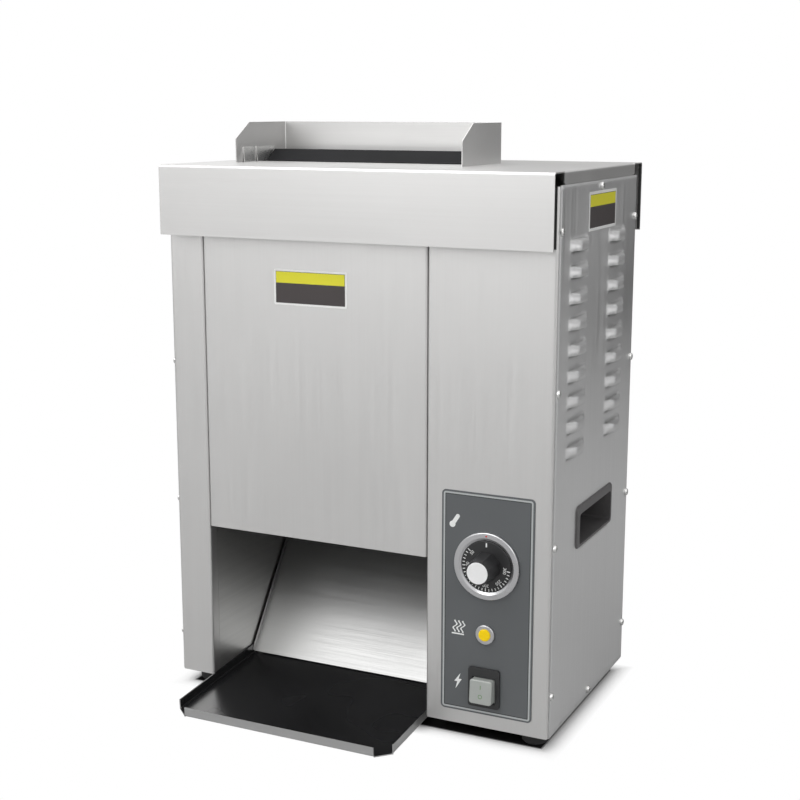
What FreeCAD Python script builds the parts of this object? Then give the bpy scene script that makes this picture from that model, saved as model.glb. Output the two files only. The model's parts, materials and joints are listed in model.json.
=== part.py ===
import FreeCAD, Part
import math
import os

V = FreeCAD.Vector

# Case, measured from the middle of its front bottom edge
case_width = 450.0
case_depth = 258.0
case_height = 580.0
foot_height = 16.0
sheet = 1.2
liner_sheet = 1.0
bend_radius = 1.5
seam_gap = 0.5
fit_gap = 0.2
slip_gap = 0.1
overrun = 4.0
tiny = 0.001
parallel_share = 0.99

# Front layout
post_width = 43.0
control_width = 138.5
front_cover_bottom = 178.0
return_flange = 14.0
side_flange = 15.0
cover_flange = 10.0
front_top_inset = 14.0

# Top cover
apron_proud = 16.0
apron_height = 75.0
top_side_flange = 12.5
top_side_flange_inset = 12.0
top_flange_corner = 4.0

# Feed slot and hopper
hopper_left_reach = 1.0
hopper_right_reach = 5.5
hopper_rear_inset = 75.0
hopper_depth = 110.0
hopper_height = 44.0
hopper_wing_front_height = 26.0
hopper_wing_chamfer = 29.0
slot_depth = 29.5
slot_end_inset = 3.0
hopper_tab_width = 30.0
hopper_tab_depth = 9.0
hopper_tab_inset = 26.0
guide_height = 16.5
guide_lean = 1.0
guide_front_inset = 14.0
guide_slit_place = 36.0
guide_slit_width = 6.0
ramp_length = 30.0
ramp_foot = 10.0
ramp_leg_gap = 2.0
ramp_crest_height = 15.0
ramp_leg_depth = 18.0
ramp_end_gap = 0.4

# Chamber walls
liner_top_inset = 24.0
liner_foot = 12.0
rear_liner_inset = 22.0
rear_liner_bottom = 172.0
belt_guard_gap = 16.0
belt_guard_bottom = 190.0
guard_flange = 10.0
guard_top_gap = 4.0

# Discharge slide
slide_left_gap = 2.4
slide_right_gap = 0.6
slide_flange = 5.0
slide_front_height = -1.0
slide_run = 115.7
slide_angle = 54.3
slide_rear_inset = 57.0
slide_rear_flange_top = 222.0
slide_bend_radius = 3.0
slide_ear_height = 40.0

# Landing tray
tray_left_gap = 0.8
tray_right_gap = 4.0
tray_slope = 3.85
tray_reach = 85.0
tray_rear_reach = 10.7
tray_front_height = 0.6
tray_wall = 11.4
tray_corner_width = 16.0
tray_corner_depth = 14.0
tray_left_wall_inset = 5.0
tray_right_wall_inset = 17.0
tray_leg_gap = 0.3

# Base pan
pan_flange = 15.0
pan_edge_gap = 12.7
pan_end_gap = 1.0

# Feet
foot_diameter = 28.0
foot_inset_side = 24.0
foot_inset_end = 28.0
foot_chamfer = 2.0
foot_recess_diameter = 14.0
foot_recess_depth = 9.0

# Screws
screw_diameter = 4.0
screw_head_diameter = 8.0
screw_head_height = 2.5
screw_head_round = 1.6
screw_length = 8.0
screw_slot_width = 1.1
screw_slot_depth = 1.0
screw_slot_share = 0.32
screw_column_inset = 7.0
screw_row_count = 4
screw_low_height = 45.0
screw_high_inset = 58.0
screw_top_inset = 19.0
screw_bottom_height = 7.0
rear_screw_inset = 63.0

# Upper rails
rail_height = 24.0
rail_width = 16.0

# Louvres
louvre_spacing = 26.3
louvre_top_inset = 67.0
louvre_handle_gap = 57.0
louvre_width = 64.0
louvre_height = 12.0
louvre_proud = 6.0
louvre_end_slope = 21.0
louvre_ledge = 3.0
louvre_front_inset = 62.5
louvre_rear_inset = 71.0

# Recess handles
handle_rear_inset = 126.0
handle_middle_height = 207.5
handle_length = 120.0
handle_tall = 46.5
handle_corner = 6.0
handle_frame_proud = 2.0
handle_frame_top = 9.5
handle_frame_bottom = 3.5
handle_frame_front = 9.0
handle_frame_rear = 4.5
handle_frame_bevel = 1.2
handle_pocket_depth = 32.0
handle_wall = 2.5

# Heated plate
platen_rear_inset = 60.0
platen_thickness = 12.0
platen_side_gap = 10.0
platen_bottom = 226.0
platen_top_inset = 40.0
platen_lead_in = 6.0
element_diameter = 8.0
element_runs = 4
element_low_inset = 42.0
element_high_inset = 44.0
element_turn_inset = 28.0
element_exit = 18.0
element_hole_gap = 1.0
clamp_sheet = 1.5
clamp_edge_inset = 30.0
clamp_end_inset = 4.0
platen_rail_sheet = 1.5
platen_rail_reach = 26.0
platen_rail_depth = 26.0
hook_gap = 3.0
release_sheet_thickness = 0.3
release_sheet_overhang = 8.0
release_sheet_hook = 20.0
insulation_side_gap = 14.0
bulb_gap = 0.3
insulation_end_inset = 6.0

# Conveyor
roller_diameter = 44.0
belt_thickness = 1.6
belt_clearance = 0.3
toasting_gap = 36.0
belt_side_gap = 10.0
drum_side_gap = 8.5
drive_axis_height = 208.0
idler_axis_inset = 52.0
shaft_diameter = 10.0
bush_diameter = 16.0
bush_flange_diameter = 24.0
bush_flange = 2.0
drive_shaft_reach = 26.0
drive_shaft_left_reach = 2.0
plate_sheet = 2.0
plate_rear_gap = 2.0
plate_depth = 44.0
plate_bottom = 190.0
plate_top_inset = 22.0
plate_tab = 10.0
block_depth = 22.0
block_height = 26.0
block_thickness = 6.0
take_up_screw_diameter = 5.0
take_up_head_diameter = 9.0
take_up_head_height = 4.0
support_sheet = 1.5
support_gap = 0.4
support_bottom = 236.0
support_top_gap = 28.0
support_flange = 12.0
tie_rod_diameter = 8.0
tie_rod_front_inset = 13.0
tie_rod_axis_gap = 92.0

# Gear motor
gearbox_size = 60.0
gearbox_length = 32.0
gearbox_round = 4.0
motor_diameter = 52.0
motor_length = 60.0
motor_rim = 1.5

# Fan
fan_size = 80.0
fan_depth = 25.0
fan_bore = 74.0
fan_corner = 5.0
fan_wall = 4.0
fan_side_inset = 70.0
fan_top_inset = 180.0
fan_hub_diameter = 32.0
fan_blade_count = 7
fan_tip_gap = 1.5
fan_blade_thickness = 1.6
fan_blade_angle = 38.0
fan_blade_chord = 19.0
fan_strut_width = 5.0
fan_strut_depth = 3.0
fan_strut_angle = 45.0
fan_hub_gap = 0.6
fan_axle_diameter = 6.0
fan_hole_spacing = 71.5
grille_wire = 2.0
grille_ring_count = 4
grille_ring_radius = 10.0
grille_ring_spacing = 8.0
grille_eye_thickness = 2.4
grille_weld_sink = 0.4

# Rear panel vents
vent_count = 6
vent_width = 70.0
vent_height = 5.0
vent_round_share = 0.49
vent_spacing = 16.0
vent_top_inset = 200.0
vent_column_spread = 50.0

# Control panel
overlay_left_inset = 17.8
overlay_right_inset = 18.5
overlay_bottom = 15.0
overlay_height = 239.8
overlay_corner = 4.5
overlay_thickness = 0.8
dial_height = 178.5
bezel_diameter = 72.0
bezel_bore = 55.6
bezel_thickness = 3.6
bezel_outer_round = 1.2
bezel_dish_width = 2.6
bezel_dish_depth = 1.1
skirt_diameter = 54.4
skirt_lift = 1.0
skirt_thickness = 2.0
grip_sides = 8
grip_turn_share = 0.5
grip_base_diameter = 32.0
grip_front_diameter = 27.0
grip_length = 23.8
cap_diameter = 22.8
cap_recess = 1.2
cap_proud = 0.6
cap_round = 0.5
dial_shaft_diameter = 6.0
dial_shaft_depth = 14.0
thermostat_width = 42.0
thermostat_height = 36.0
thermostat_depth = 28.0
thermostat_neck_diameter = 12.0
thermostat_neck_sink = 4.0
capillary_diameter = 2.0
bulb_diameter = 6.0
bulb_length = 60.0
capillary_standoff = 12.0
capillary_bend_radius = 4.0
capillary_seat = 2.0
capillary_across_share = 0.25
lamp_offset = 0.8
lamp_height = 104.2
lamp_bezel_diameter = 21.0
lamp_bezel_thickness = 3.0
lamp_bezel_round = 1.0
lamp_lens_diameter = 13.0
lamp_lens_proud = 2.2
lamp_lens_round = 1.8
lamp_body_diameter = 12.0
lamp_body_length = 34.0
switch_offset = 1.4
switch_height = 45.4
switch_frame_width = 35.0
switch_frame_height = 43.0
switch_frame_proud = 2.5
switch_frame_corner = 3.0
switch_side_rim = 4.6
switch_body_depth = 26.0
switch_body_rim = 2.5
switch_body_wall = 1.5
rocker_gap = 0.4
rocker_pivot_depth = 0.8
rocker_face_proud = 9.2
rocker_back_depth = 12.0
rocker_tall = 26.0
rocker_drop = 2.4
rocker_end_gap = 0.8
rocker_corner = 3.0
rocker_round = 1.5
rocker_tilt = 4.5
rocker_pin_diameter = 3.0
rocker_pin_reach = 1.2

# Electrical pieces
terminal_block_length = 84.0
terminal_block_depth = 22.0
terminal_block_height = 20.0
terminal_block_inset = 20.5
terminal_block_rear_inset = 68.0
terminal_count = 6
terminal_screw_diameter = 6.0
terminal_screw_depth = 3.0
gland_side_inset = 45.0
gland_height = 60.0
gland_thread_diameter = 20.0
gland_flange_diameter = 27.0
gland_flange = 4.0
gland_nose = 6.0
gland_nose_round = 2.0
gland_nose_diameter = 21.0
gland_bore = 11.0
gland_inside = 9.0
relay_reach = 38.0
relay_depth = 46.0
relay_height = 52.0
relay_rear_inset = 78.0
relay_bottom = 96.0
relay_round = 2.0
wire_diameter = 3.0
wire_bend_radius = 6.0

# Case values that follow from the ones above
half_width = case_width / 2
panel_inner = half_width - sheet
case_front_top = case_height - front_top_inset
screw_top_height = case_height - screw_top_inset
screw_hole_diameter = screw_diameter + 2 * slip_gap
chamber_left = -half_width + post_width
chamber_right = half_width - control_width
control_left = chamber_right
chamber_width = chamber_right - chamber_left
chamber_middle = (chamber_left + chamber_right) / 2
partition_outer = chamber_right + liner_sheet
louvre_top = case_height - louvre_top_inset
louvre_low = handle_middle_height + handle_tall / 2 + louvre_handle_gap
louvre_count = int((louvre_top - louvre_low) / louvre_spacing) + 1
handle_middle_depth = case_depth - handle_rear_inset

# Heated plate and conveyor values, counted from the rear and the top
liner_top = case_height - liner_top_inset
guard_top = liner_top - guard_top_gap
rear_liner_place = case_depth - rear_liner_inset
platen_rear = case_depth - platen_rear_inset
platen_face_place = platen_rear - platen_thickness
platen_left = chamber_left + platen_side_gap
platen_right = chamber_right - platen_side_gap
platen_top = case_height - platen_top_inset
element_low = platen_bottom + element_low_inset
element_high = platen_top - element_high_inset
element_run_spacing = (element_high - element_low) / (element_runs - 1)
belt_rear_place = platen_face_place - toasting_gap
idler_axis_height = case_height - idler_axis_inset
roller_axis_place = belt_rear_place - belt_thickness - belt_clearance - roller_diameter / 2
belt_left = chamber_left + belt_side_gap
belt_right = chamber_right - belt_side_gap
drum_left = chamber_left + drum_side_gap
drum_right = chamber_right - drum_side_gap
plate_rear = belt_rear_place - plate_rear_gap
plate_front = plate_rear - plate_depth
plate_top = case_height - plate_top_inset
support_top = idler_axis_height - support_top_gap
tie_rod_place = plate_front + tie_rod_front_inset
tie_rod_heights = (drive_axis_height + tie_rod_axis_gap, idler_axis_height - tie_rod_axis_gap)
belt_guard_place = plate_front - belt_guard_gap

# Hopper, slide and tray values
hopper_left = chamber_left - hopper_left_reach
hopper_right = chamber_right + hopper_right_reach
hopper_rear = case_depth - hopper_rear_inset
hopper_front = hopper_rear - hopper_depth
slot_front = hopper_rear - slot_depth
ramp_crest_place = slot_front + ramp_leg_gap
ramp_front = ramp_crest_place - ramp_length
slide_rear_place = case_depth - slide_rear_inset
slide_front_place = slide_rear_place - slide_run
tray_front = -tray_reach
tray_rear = slide_front_place + tray_rear_reach
pan_front_edge = slide_front_place + pan_edge_gap

# Control side values
overlay_left = control_left + overlay_left_inset
overlay_width = control_width - overlay_left_inset - overlay_right_inset
dial_across = overlay_left + overlay_width / 2
lamp_across = dial_across - lamp_offset
switch_across = dial_across - switch_offset
rocker_height = switch_height - rocker_drop
fan_middle_across = half_width - fan_side_inset
fan_middle_height = case_height - fan_top_inset
gland_across = half_width - gland_side_inset

# Shared origin, at the bottom centre of the whole
total_rear = case_depth + apron_proud
middle_depth = (tray_front + total_rear) / 2
place = V(0, -middle_depth, foot_height)

os.makedirs("parts", exist_ok=True)


# Moves a finished piece to the shared origin and writes it
def save(shape, name):
    moved = shape.copy()
    moved.translate(place)
    moved.exportStep("parts/" + name + ".step")


# A block between two opposite corners
def block(low, high):
    size = V(*high) - V(*low)
    return Part.makeBox(size.x, size.y, size.z, V(*low))


# A round bar from a point along a direction
def bar(start, direction, length, diameter):
    return Part.makeCylinder(diameter / 2, length, V(*start), direction)


# A tube with a clear bore from a point along a direction
def tube(start, direction, length, outer, bore):
    back = V(*start) - direction * overrun
    hole = bar(back, direction, length + 2 * overrun, bore)
    return bar(start, direction, length, outer).cut(hole)


ACROSS = V(1, 0, 0)
BACK = V(0, 1, 0)
UP = V(0, 0, 1)


# A point from two profile values, for a profile that runs along one axis
def spot(axis, u, v, w):
    if axis == "x":
        return V(w, u, v)
    if axis == "y":
        return V(u, w, v)
    return V(u, v, w)


# A closed flat face pulled along an axis
def pulled(axis, points, start, end):
    corners = [spot(axis, u, v, start) for u, v in points]
    face = Part.Face(Part.makePolygon(corners + [corners[0]]))
    return face.extrude(spot(axis, 0, 0, end - start))


# One side of a bent strip, with its corners rounded
def rounded_side(points, radii):
    pieces = []
    last = points[0]
    for index in range(1, len(points) - 1):
        corner = points[index]
        way_in = (corner - points[index - 1]).normalize()
        way_out = (points[index + 1] - corner).normalize()
        turn = way_in.getAngle(way_out)
        reach = radii[index] * math.tan(turn / 2)
        start = corner - way_in * reach
        end = corner + way_out * reach
        inward = (way_out - way_in).normalize()
        centre = corner + inward * (radii[index] / math.cos(turn / 2))
        middle = centre - inward * radii[index]
        if last.distanceToPoint(start) > tiny:
            pieces.append(Part.makeLine(last, start))
        pieces.append(Part.Arc(start, middle, end).toShape())
        last = end
    pieces.append(Part.makeLine(last, points[-1]))
    return pieces


# Bent sheet: the path is one face and the metal lies on its left or right
def bent(axis, path, thickness, start, end, left=True, radius=bend_radius):
    side = 1 if left else -1
    flat = [V(u, v, 0) for u, v in path]
    steps = [(flat[i + 1] - flat[i]).normalize() for i in range(len(flat) - 1)]
    normals = [V(-s.y, s.x, 0) * side for s in steps]
    other = [flat[0] + normals[0] * thickness]
    near_radii = [0]
    far_radii = [0]
    for index in range(1, len(flat) - 1):
        joined = normals[index - 1] + normals[index]
        scale = thickness / (1 + normals[index - 1].dot(normals[index]))
        other.append(flat[index] + joined * scale)
        turn = steps[index - 1].cross(steps[index]).z * side
        near_radii.append(radius + thickness if turn > 0 else radius)
        far_radii.append(radius if turn > 0 else radius + thickness)
    other.append(flat[-1] + normals[-1] * thickness)
    near_radii.append(0)
    far_radii.append(0)
    near = [spot(axis, p.x, p.y, start) for p in flat]
    far = [spot(axis, p.x, p.y, start) for p in other]
    edges = rounded_side(near, near_radii)
    edges.append(Part.makeLine(near[-1], far[-1]))
    edges += rounded_side(far[::-1], far_radii[::-1])
    edges.append(Part.makeLine(far[0], near[0]))
    wire = Part.Wire(Part.__sortEdges__(edges))
    return Part.Face(wire).extrude(spot(axis, 0, 0, end - start))


# A plate with round corners that faces the front or the side
def rounded_plate(axis, low, high, start, end, corner):
    plate = pulled(axis, [low, (high[0], low[1]), high, (low[0], high[1])], start, end)
    along = spot(axis, 0, 0, 1)
    chosen = []
    for edge in plate.Edges:
        direction = (edge.Vertexes[-1].Point - edge.Vertexes[0].Point).normalize()
        if abs(direction.dot(along)) > parallel_share:
            chosen.append(edge)
    return plate.makeFillet(corner, chosen)


# A tube that follows a path of straight lines with rounded turns
def bent_bar(points, diameter, radius):
    corners = [V(*p) for p in points]
    edges = rounded_side(corners, [radius] * len(corners))
    path = Part.Wire(edges)
    heading = (corners[1] - corners[0]).normalize()
    ring = Part.Wire(Part.makeCircle(diameter / 2, corners[0], heading))
    return path.makePipeShell([ring], True, True)


# Joins shapes that overlap into one clean solid
def joined(shapes):
    whole = shapes[0].multiFuse(shapes[1:])
    return whole.removeSplitter()


# Mirrors a piece to the other side of the case
def mirrored(shape):
    return shape.mirror(V(0, 0, 0), ACROSS)


# Sizes of the holes in a case side, as middle depth and height
def side_screw_places():
    rear = case_depth - screw_column_inset
    spacing = (case_height - screw_high_inset - screw_low_height) / (screw_row_count - 1)
    heights = [screw_low_height + spacing * row for row in range(screw_row_count)]
    places = [(screw_column_inset, height) for height in heights]
    places += [(rear, height) for height in heights]
    places.append((case_depth / 2, screw_top_height))
    places.append((case_depth / 2, screw_bottom_height))
    return places


# Screw places on the rear panel, as across and height
def rear_screw_places():
    spread = half_width - rear_screw_inset
    heights = (screw_bottom_height, screw_top_height)
    return [(across, height) for across in (-spread, 0, spread) for height in heights]


# Holes for the side screws through everything near one case side
def side_screw_holes(side):
    holes = []
    for depth, height in side_screw_places():
        start = (side * (half_width + overrun), depth, height)
        length = 3 * overrun
        holes.append(bar(start, ACROSS * -side, length, screw_hole_diameter))
    return Part.makeCompound(holes)


# Holes for the rear screws
def rear_screw_holes():
    holes = []
    for across, height in rear_screw_places():
        start = (across, case_depth + overrun, height)
        holes.append(bar(start, -BACK, 3 * overrun, screw_hole_diameter))
    return Part.makeCompound(holes)


# One pan head screw with its head outside a face
def screw(start, outward):
    head = bar(start, outward, screw_head_height, screw_head_diameter)
    rim = []
    for edge in head.Edges:
        far = (edge.BoundBox.Center - V(*start)).dot(outward) > screw_head_height / 2
        if far and edge.Curve.TypeId == "Part::GeomCircle":
            rim.append(edge)
    head = head.makeFillet(screw_head_round, rim)
    shank = bar(start, -outward, screw_length, screw_diameter)
    whole = joined([head, shank])
    top = V(*start) + outward * screw_head_height
    deep = top - outward * screw_slot_depth
    for turn in (0, 1):
        reach = screw_head_diameter * screw_slot_share
        slot = block((-reach, -screw_slot_width / 2, 0), (reach, screw_slot_width / 2, overrun))
        slot.rotate(V(0, 0, 0), UP, 90 * turn)
        seat = FreeCAD.Placement(deep, FreeCAD.Rotation(UP, outward))
        slot.Placement = seat.multiply(slot.Placement)
        whole = whole.cut(slot)
    return whole


# Floor pan with side flanges, cut away above the landing tray
def base_pan():
    edge = panel_inner - fit_gap
    path = [(-edge, pan_flange), (-edge, 0), (edge, 0), (edge, pan_flange)]
    start = side_flange + pan_end_gap
    end = case_depth - side_flange - pan_end_gap
    trough = bent("y", path, sheet, start, end)
    narrow = panel_inner - sheet - fit_gap
    floor = block((-narrow, sheet + fit_gap, 0), (narrow, case_depth - sheet - fit_gap, sheet))
    cut_left = chamber_left - sheet - fit_gap
    cut_right = chamber_right + sheet + fit_gap
    mouth = block((cut_left, -overrun, -overrun), (cut_right, pan_front_edge, 2 * overrun))
    pan = joined([trough, floor]).cut(mouth)
    rest = block((chamber_left + fit_gap, pan_front_edge, 0),
                 (chamber_right - fit_gap, pan_front_edge + sheet, slide_under(pan_front_edge) - fit_gap))
    pan = joined([pan, rest])
    for x, y in foot_places():
        hole = bar((x, y, -overrun), UP, 3 * overrun, screw_hole_diameter)
        pan = pan.cut(hole)
    pan = pan.cut(side_screw_holes(1)).cut(side_screw_holes(-1))
    return pan


# Where the four feet stand
def foot_places():
    x = half_width - foot_inset_side
    y = case_depth - foot_inset_end
    return [(-x, foot_inset_end), (x, foot_inset_end), (-x, y), (x, y)]


# One rubber foot with a recess for its screw
def foot(x, y):
    body = bar((x, y, -foot_height), UP, foot_height, foot_diameter)
    low = [e for e in body.Edges if abs(e.BoundBox.ZMax + foot_height) < fit_gap]
    body = body.makeChamfer(foot_chamfer, low)
    recess = bar((x, y, -foot_height - overrun), UP, foot_recess_depth + overrun, foot_recess_diameter)
    body = body.cut(recess)
    hole = bar((x, y, -foot_height), UP, foot_height + overrun, screw_hole_diameter)
    return body.cut(hole)


# The screw that holds a foot to the pan
def foot_screw(x, y):
    seat = foot_height - foot_recess_depth
    head = bar((x, y, -seat - screw_head_height), UP, screw_head_height, screw_head_diameter)
    shank = bar((x, y, -seat), UP, seat + sheet + screw_diameter, screw_diameter)
    return joined([head, shank])


# One pressed louvre hood on the right side, drawn in by a wall thickness and open below
def louvre(depth, height, wall):
    near = panel_inner
    far = half_width + louvre_proud
    reach = far - near
    end_length = math.hypot(reach, louvre_end_slope)
    ledge_length = math.hypot(reach, louvre_ledge)
    end_shift = wall * end_length / reach
    ledge_shift = wall * ledge_length / reach
    share = (reach - wall) / reach
    low = height - louvre_height
    left = depth - louvre_width / 2 + end_shift
    right = depth + louvre_width / 2 - end_shift
    top = height - ledge_shift
    shoulder = top - louvre_ledge * share
    out = far - wall
    run = louvre_end_slope * share
    a, b, c, d = V(near, left, low), V(near, right, low), V(near, right, top), V(near, left, top)
    e, f = V(out, left + run, low), V(out, right - run, low)
    g, h = V(out, right - run, shoulder), V(out, left + run, shoulder)
    faces = []
    for loop in ((a, b, c, d), (a, b, f, e), (e, f, g, h), (d, c, g, h), (a, d, h, e), (b, c, g, f)):
        faces.append(Part.Face(Part.makePolygon(list(loop) + [loop[0]])))
    return Part.Solid(Part.Shell(faces))


# A side panel with louvres, handle hole and screw holes, drawn on the right
def side_panel():
    front = sheet + bend_radius + seam_gap
    rear = case_depth - front
    top = case_height - top_side_flange - seam_gap
    panel = block((panel_inner, front, 0), (half_width, rear, top))
    hoods = []
    hollows = []
    for column in (louvre_front_inset, case_depth - louvre_rear_inset):
        for row in range(louvre_count):
            height = louvre_top - row * louvre_spacing
            hoods.append(louvre(column, height, 0))
            hollows.append(louvre(column, height, sheet))
    panel = joined([panel] + hoods)
    for hollow in hollows:
        panel = panel.cut(hollow)
    low, high = handle_window(fit_gap)
    window = rounded_plate("x", low, high, panel_inner - overrun, half_width + overrun, handle_corner)
    panel = panel.cut(window)
    return panel.cut(side_screw_holes(1))


# The window that a recess handle fills, with a gap all round
def handle_window(gap):
    margin = handle_wall + gap
    front = handle_middle_depth - handle_length / 2 + handle_frame_front
    rear = handle_middle_depth + handle_length / 2 - handle_frame_rear
    bottom = handle_middle_height - handle_tall / 2 + handle_frame_bottom
    top = handle_middle_height + handle_tall / 2 - handle_frame_top
    return (front - margin, bottom - margin), (rear + margin, top + margin)


# A recessed plastic hand hold, drawn on the right
def recess_handle():
    low = (handle_middle_depth - handle_length / 2, handle_middle_height - handle_tall / 2)
    high = (handle_middle_depth + handle_length / 2, handle_middle_height + handle_tall / 2)
    outside = half_width + handle_frame_proud
    frame = rounded_plate("x", low, high, half_width, outside, handle_corner)
    rim = [e for e in frame.Edges if e.BoundBox.XMin > outside - fit_gap]
    frame = frame.makeChamfer(handle_frame_bevel, rim)
    low, high = handle_window(0)
    deep = half_width - handle_pocket_depth - handle_wall
    box = rounded_plate("x", low, high, deep, half_width + handle_frame_proud / 2, handle_corner)
    low, high = handle_window(-handle_wall)
    inner = handle_corner - handle_wall
    pocket = rounded_plate("x", low, high, deep + handle_wall, outside + overrun, inner)
    return joined([frame, box]).cut(pocket)


# Rear panel with flanges along both sides, vents, fan hole and cable hole
def rear_panel():
    edge = panel_inner
    front = case_depth - side_flange
    path = [(-edge, front), (-edge, case_depth), (edge, case_depth), (edge, front)]
    panel = bent("z", path, sheet, 0, case_front_top, left=False)
    inside = case_depth - 2 * overrun
    fan_hole = bar((fan_middle_across, inside, fan_middle_height), BACK, 4 * overrun, fan_bore)
    thread = gland_thread_diameter + 2 * slip_gap
    gland_hole = bar((gland_across, inside, gland_height), BACK, 4 * overrun, thread)
    cuts = [fan_hole, gland_hole]
    for x, z in fan_screw_places():
        cuts.append(bar((x, inside, z), BACK, 4 * overrun, screw_hole_diameter))
    for column in (-1, 1):
        middle = chamber_middle + column * vent_column_spread
        for row in range(vent_count):
            low = case_height - vent_top_inset - row * vent_spacing
            left = middle - vent_width / 2
            slot = rounded_plate("y", (left, low), (left + vent_width, low + vent_height),
                                 inside, case_depth + overrun,
                                 vent_height * vent_round_share)
            cuts.append(slot)
    panel = panel.cut(Part.makeCompound(cuts))
    panel = panel.cut(rear_screw_holes())
    return panel.cut(side_screw_holes(1)).cut(side_screw_holes(-1))


# Left front post, a channel from floor to top
def left_front_post():
    path = [(-panel_inner, side_flange), (-panel_inner, 0), (chamber_left, 0),
            (chamber_left, return_flange)]
    post = bent("z", path, sheet, 0, case_front_top)
    return post.cut(side_screw_holes(-1))


# Front panel of the control side with its holes
def control_front():
    path = [(control_left, return_flange), (control_left, 0), (panel_inner, 0),
            (panel_inner, side_flange)]
    front = bent("z", path, sheet, 0, case_front_top)
    return front.cut(side_screw_holes(1)).cut(control_holes())


# Holes for shaft, lamp and switch, through panel and overlay alike
def control_holes():
    start = -2 * overrun
    neck_hole = thermostat_neck_diameter + 2 * slip_gap
    neck = bar((dial_across, start, dial_height), BACK, 4 * overrun, neck_hole)
    lamp = bar((lamp_across, start, lamp_height), BACK, 4 * overrun, lamp_body_diameter + 2 * slip_gap)
    wide = switch_frame_width / 2 - switch_body_rim + slip_gap
    tall = switch_frame_height / 2 - switch_body_rim + slip_gap
    low = (switch_across - wide, start, switch_height - tall)
    high = (switch_across + wide, start + 4 * overrun, switch_height + tall)
    return Part.makeCompound([neck, lamp, block(low, high)])


# Front cover over the belt, a shallow pan that opens to the rear
def front_cover():
    left = chamber_left + seam_gap
    right = control_left - seam_gap
    path = [(left, cover_flange), (left, 0), (right, 0), (right, cover_flange)]
    cover = bent("z", path, sheet, front_cover_bottom, case_front_top)
    path = [(cover_flange, front_cover_bottom), (0, front_cover_bottom), (0, case_front_top)]
    inset = bend_radius + sheet
    lip = bent("x", path, sheet, left + inset, right - inset, left=False)
    return joined([cover, lip])


# Rails inside the top corners of both sides
def upper_rail():
    high = case_height - sheet - fit_gap
    outer = panel_inner - fit_gap
    path = [(outer, high - rail_height), (outer, high), (outer - rail_width, high)]
    start = side_flange + pan_end_gap
    rail = bent("y", path, sheet, start, case_depth - start)
    return rail.cut(side_screw_holes(1))


# Top cover with front and rear aprons and short side flanges
def top_cover():
    low = case_height - apron_height
    rear = case_depth + apron_proud
    path = [(-apron_proud, low), (-apron_proud, case_height), (rear, case_height), (rear, low)]
    cover = bent("x", path, sheet, -half_width, half_width, left=False)
    foot_line = case_height - top_side_flange
    path = [(-half_width, foot_line), (-half_width, case_height), (half_width, case_height),
            (half_width, foot_line)]
    start = top_side_flange_inset
    flanges = bent("y", path, sheet, start, case_depth - start, left=False)
    slot = block((hopper_left + slot_end_inset, slot_front, case_height - overrun),
                 (hopper_right - slot_end_inset, hopper_rear + seam_gap, case_height + overrun))
    corner_edges = []
    for edge in flanges.Edges:
        box = edge.BoundBox
        across_only = box.YLength < fit_gap and box.ZLength < fit_gap
        if across_only and abs(box.ZMax - foot_line) < fit_gap:
            corner_edges.append(edge)
    flanges = flanges.makeFillet(top_flange_corner, corner_edges)
    side_cut = []
    for side in (-1, 1):
        outer = side * (half_width + overrun)
        inner = side * (half_width - bend_radius - sheet)
        low_x = min(outer, inner)
        high_x = max(outer, inner)
        side_cut.append(block((low_x, start, foot_line), (high_x, case_depth - start, case_height + overrun)))
    cover = cover.cut(Part.makeCompound(side_cut))
    return joined([cover, flanges]).cut(slot)


# Three walls round the feed slot, with chamfered side wings and two tabs
def hopper_guard():
    top = case_height + hopper_height
    path = [(hopper_left, hopper_front), (hopper_left, hopper_rear), (hopper_right, hopper_rear),
            (hopper_right, hopper_front)]
    guard = bent("z", path, liner_sheet, case_height, top, left=False)
    low = case_height + hopper_wing_front_height
    far = hopper_front + hopper_wing_chamfer
    points = [(hopper_front - overrun, low), (hopper_front, low), (far, top), (far, top + overrun),
              (hopper_front - overrun, top + overrun)]
    guard = guard.cut(pulled("x", points, hopper_left - overrun, hopper_right + overrun))
    tabs = []
    for left in (hopper_left + hopper_tab_inset, hopper_right - hopper_tab_inset - hopper_tab_width):
        tabs.append(block((left, hopper_rear - liner_sheet, case_height - hopper_tab_depth),
                          (left + hopper_tab_width, hopper_rear, case_height + overrun)))
    return joined([guard] + tabs)


# A low leaning guide along the inside of the left wing
def side_guide():
    foot_x = hopper_left + liner_sheet + guide_lean
    head_x = hopper_left + liner_sheet
    low = case_height + slip_gap
    high = case_height + guide_height
    start = hopper_front + guide_front_inset
    points = [(foot_x, low), (foot_x + liner_sheet, low), (head_x + liner_sheet, high), (head_x, high)]
    guide = pulled("y", points, start, ramp_crest_place)
    slit_at = hopper_front + guide_slit_place
    slit = block((hopper_left, slit_at, case_height),
                 (foot_x + overrun, slit_at + guide_slit_width, high + overrun))
    foot_line = ramp_front + ramp_foot
    far = ramp_crest_place + overrun
    clear = [(foot_line, low - overrun), (foot_line, low), (ramp_crest_place, high),
             (ramp_crest_place, high + overrun), (far, high + overrun), (far, low - overrun)]
    guide = guide.cut(slit)
    return guide.cut(pulled("x", clear, hopper_left, foot_x + overrun))


# Black ramp in front of the feed slot, with a leg down into the slot
def feed_ramp():
    low = case_height + slip_gap
    left = hopper_left + liner_sheet + guide_lean + liner_sheet + ramp_end_gap
    right = hopper_right - liner_sheet - guide_lean - liner_sheet - ramp_end_gap
    crest = case_height + ramp_crest_height
    path = [(ramp_front, low + liner_sheet), (ramp_front + ramp_foot, low + liner_sheet),
            (ramp_crest_place, crest), (ramp_crest_place, low - ramp_leg_depth)]
    return bent("x", path, liner_sheet, left, right, left=False, radius=liner_sheet)


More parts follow.
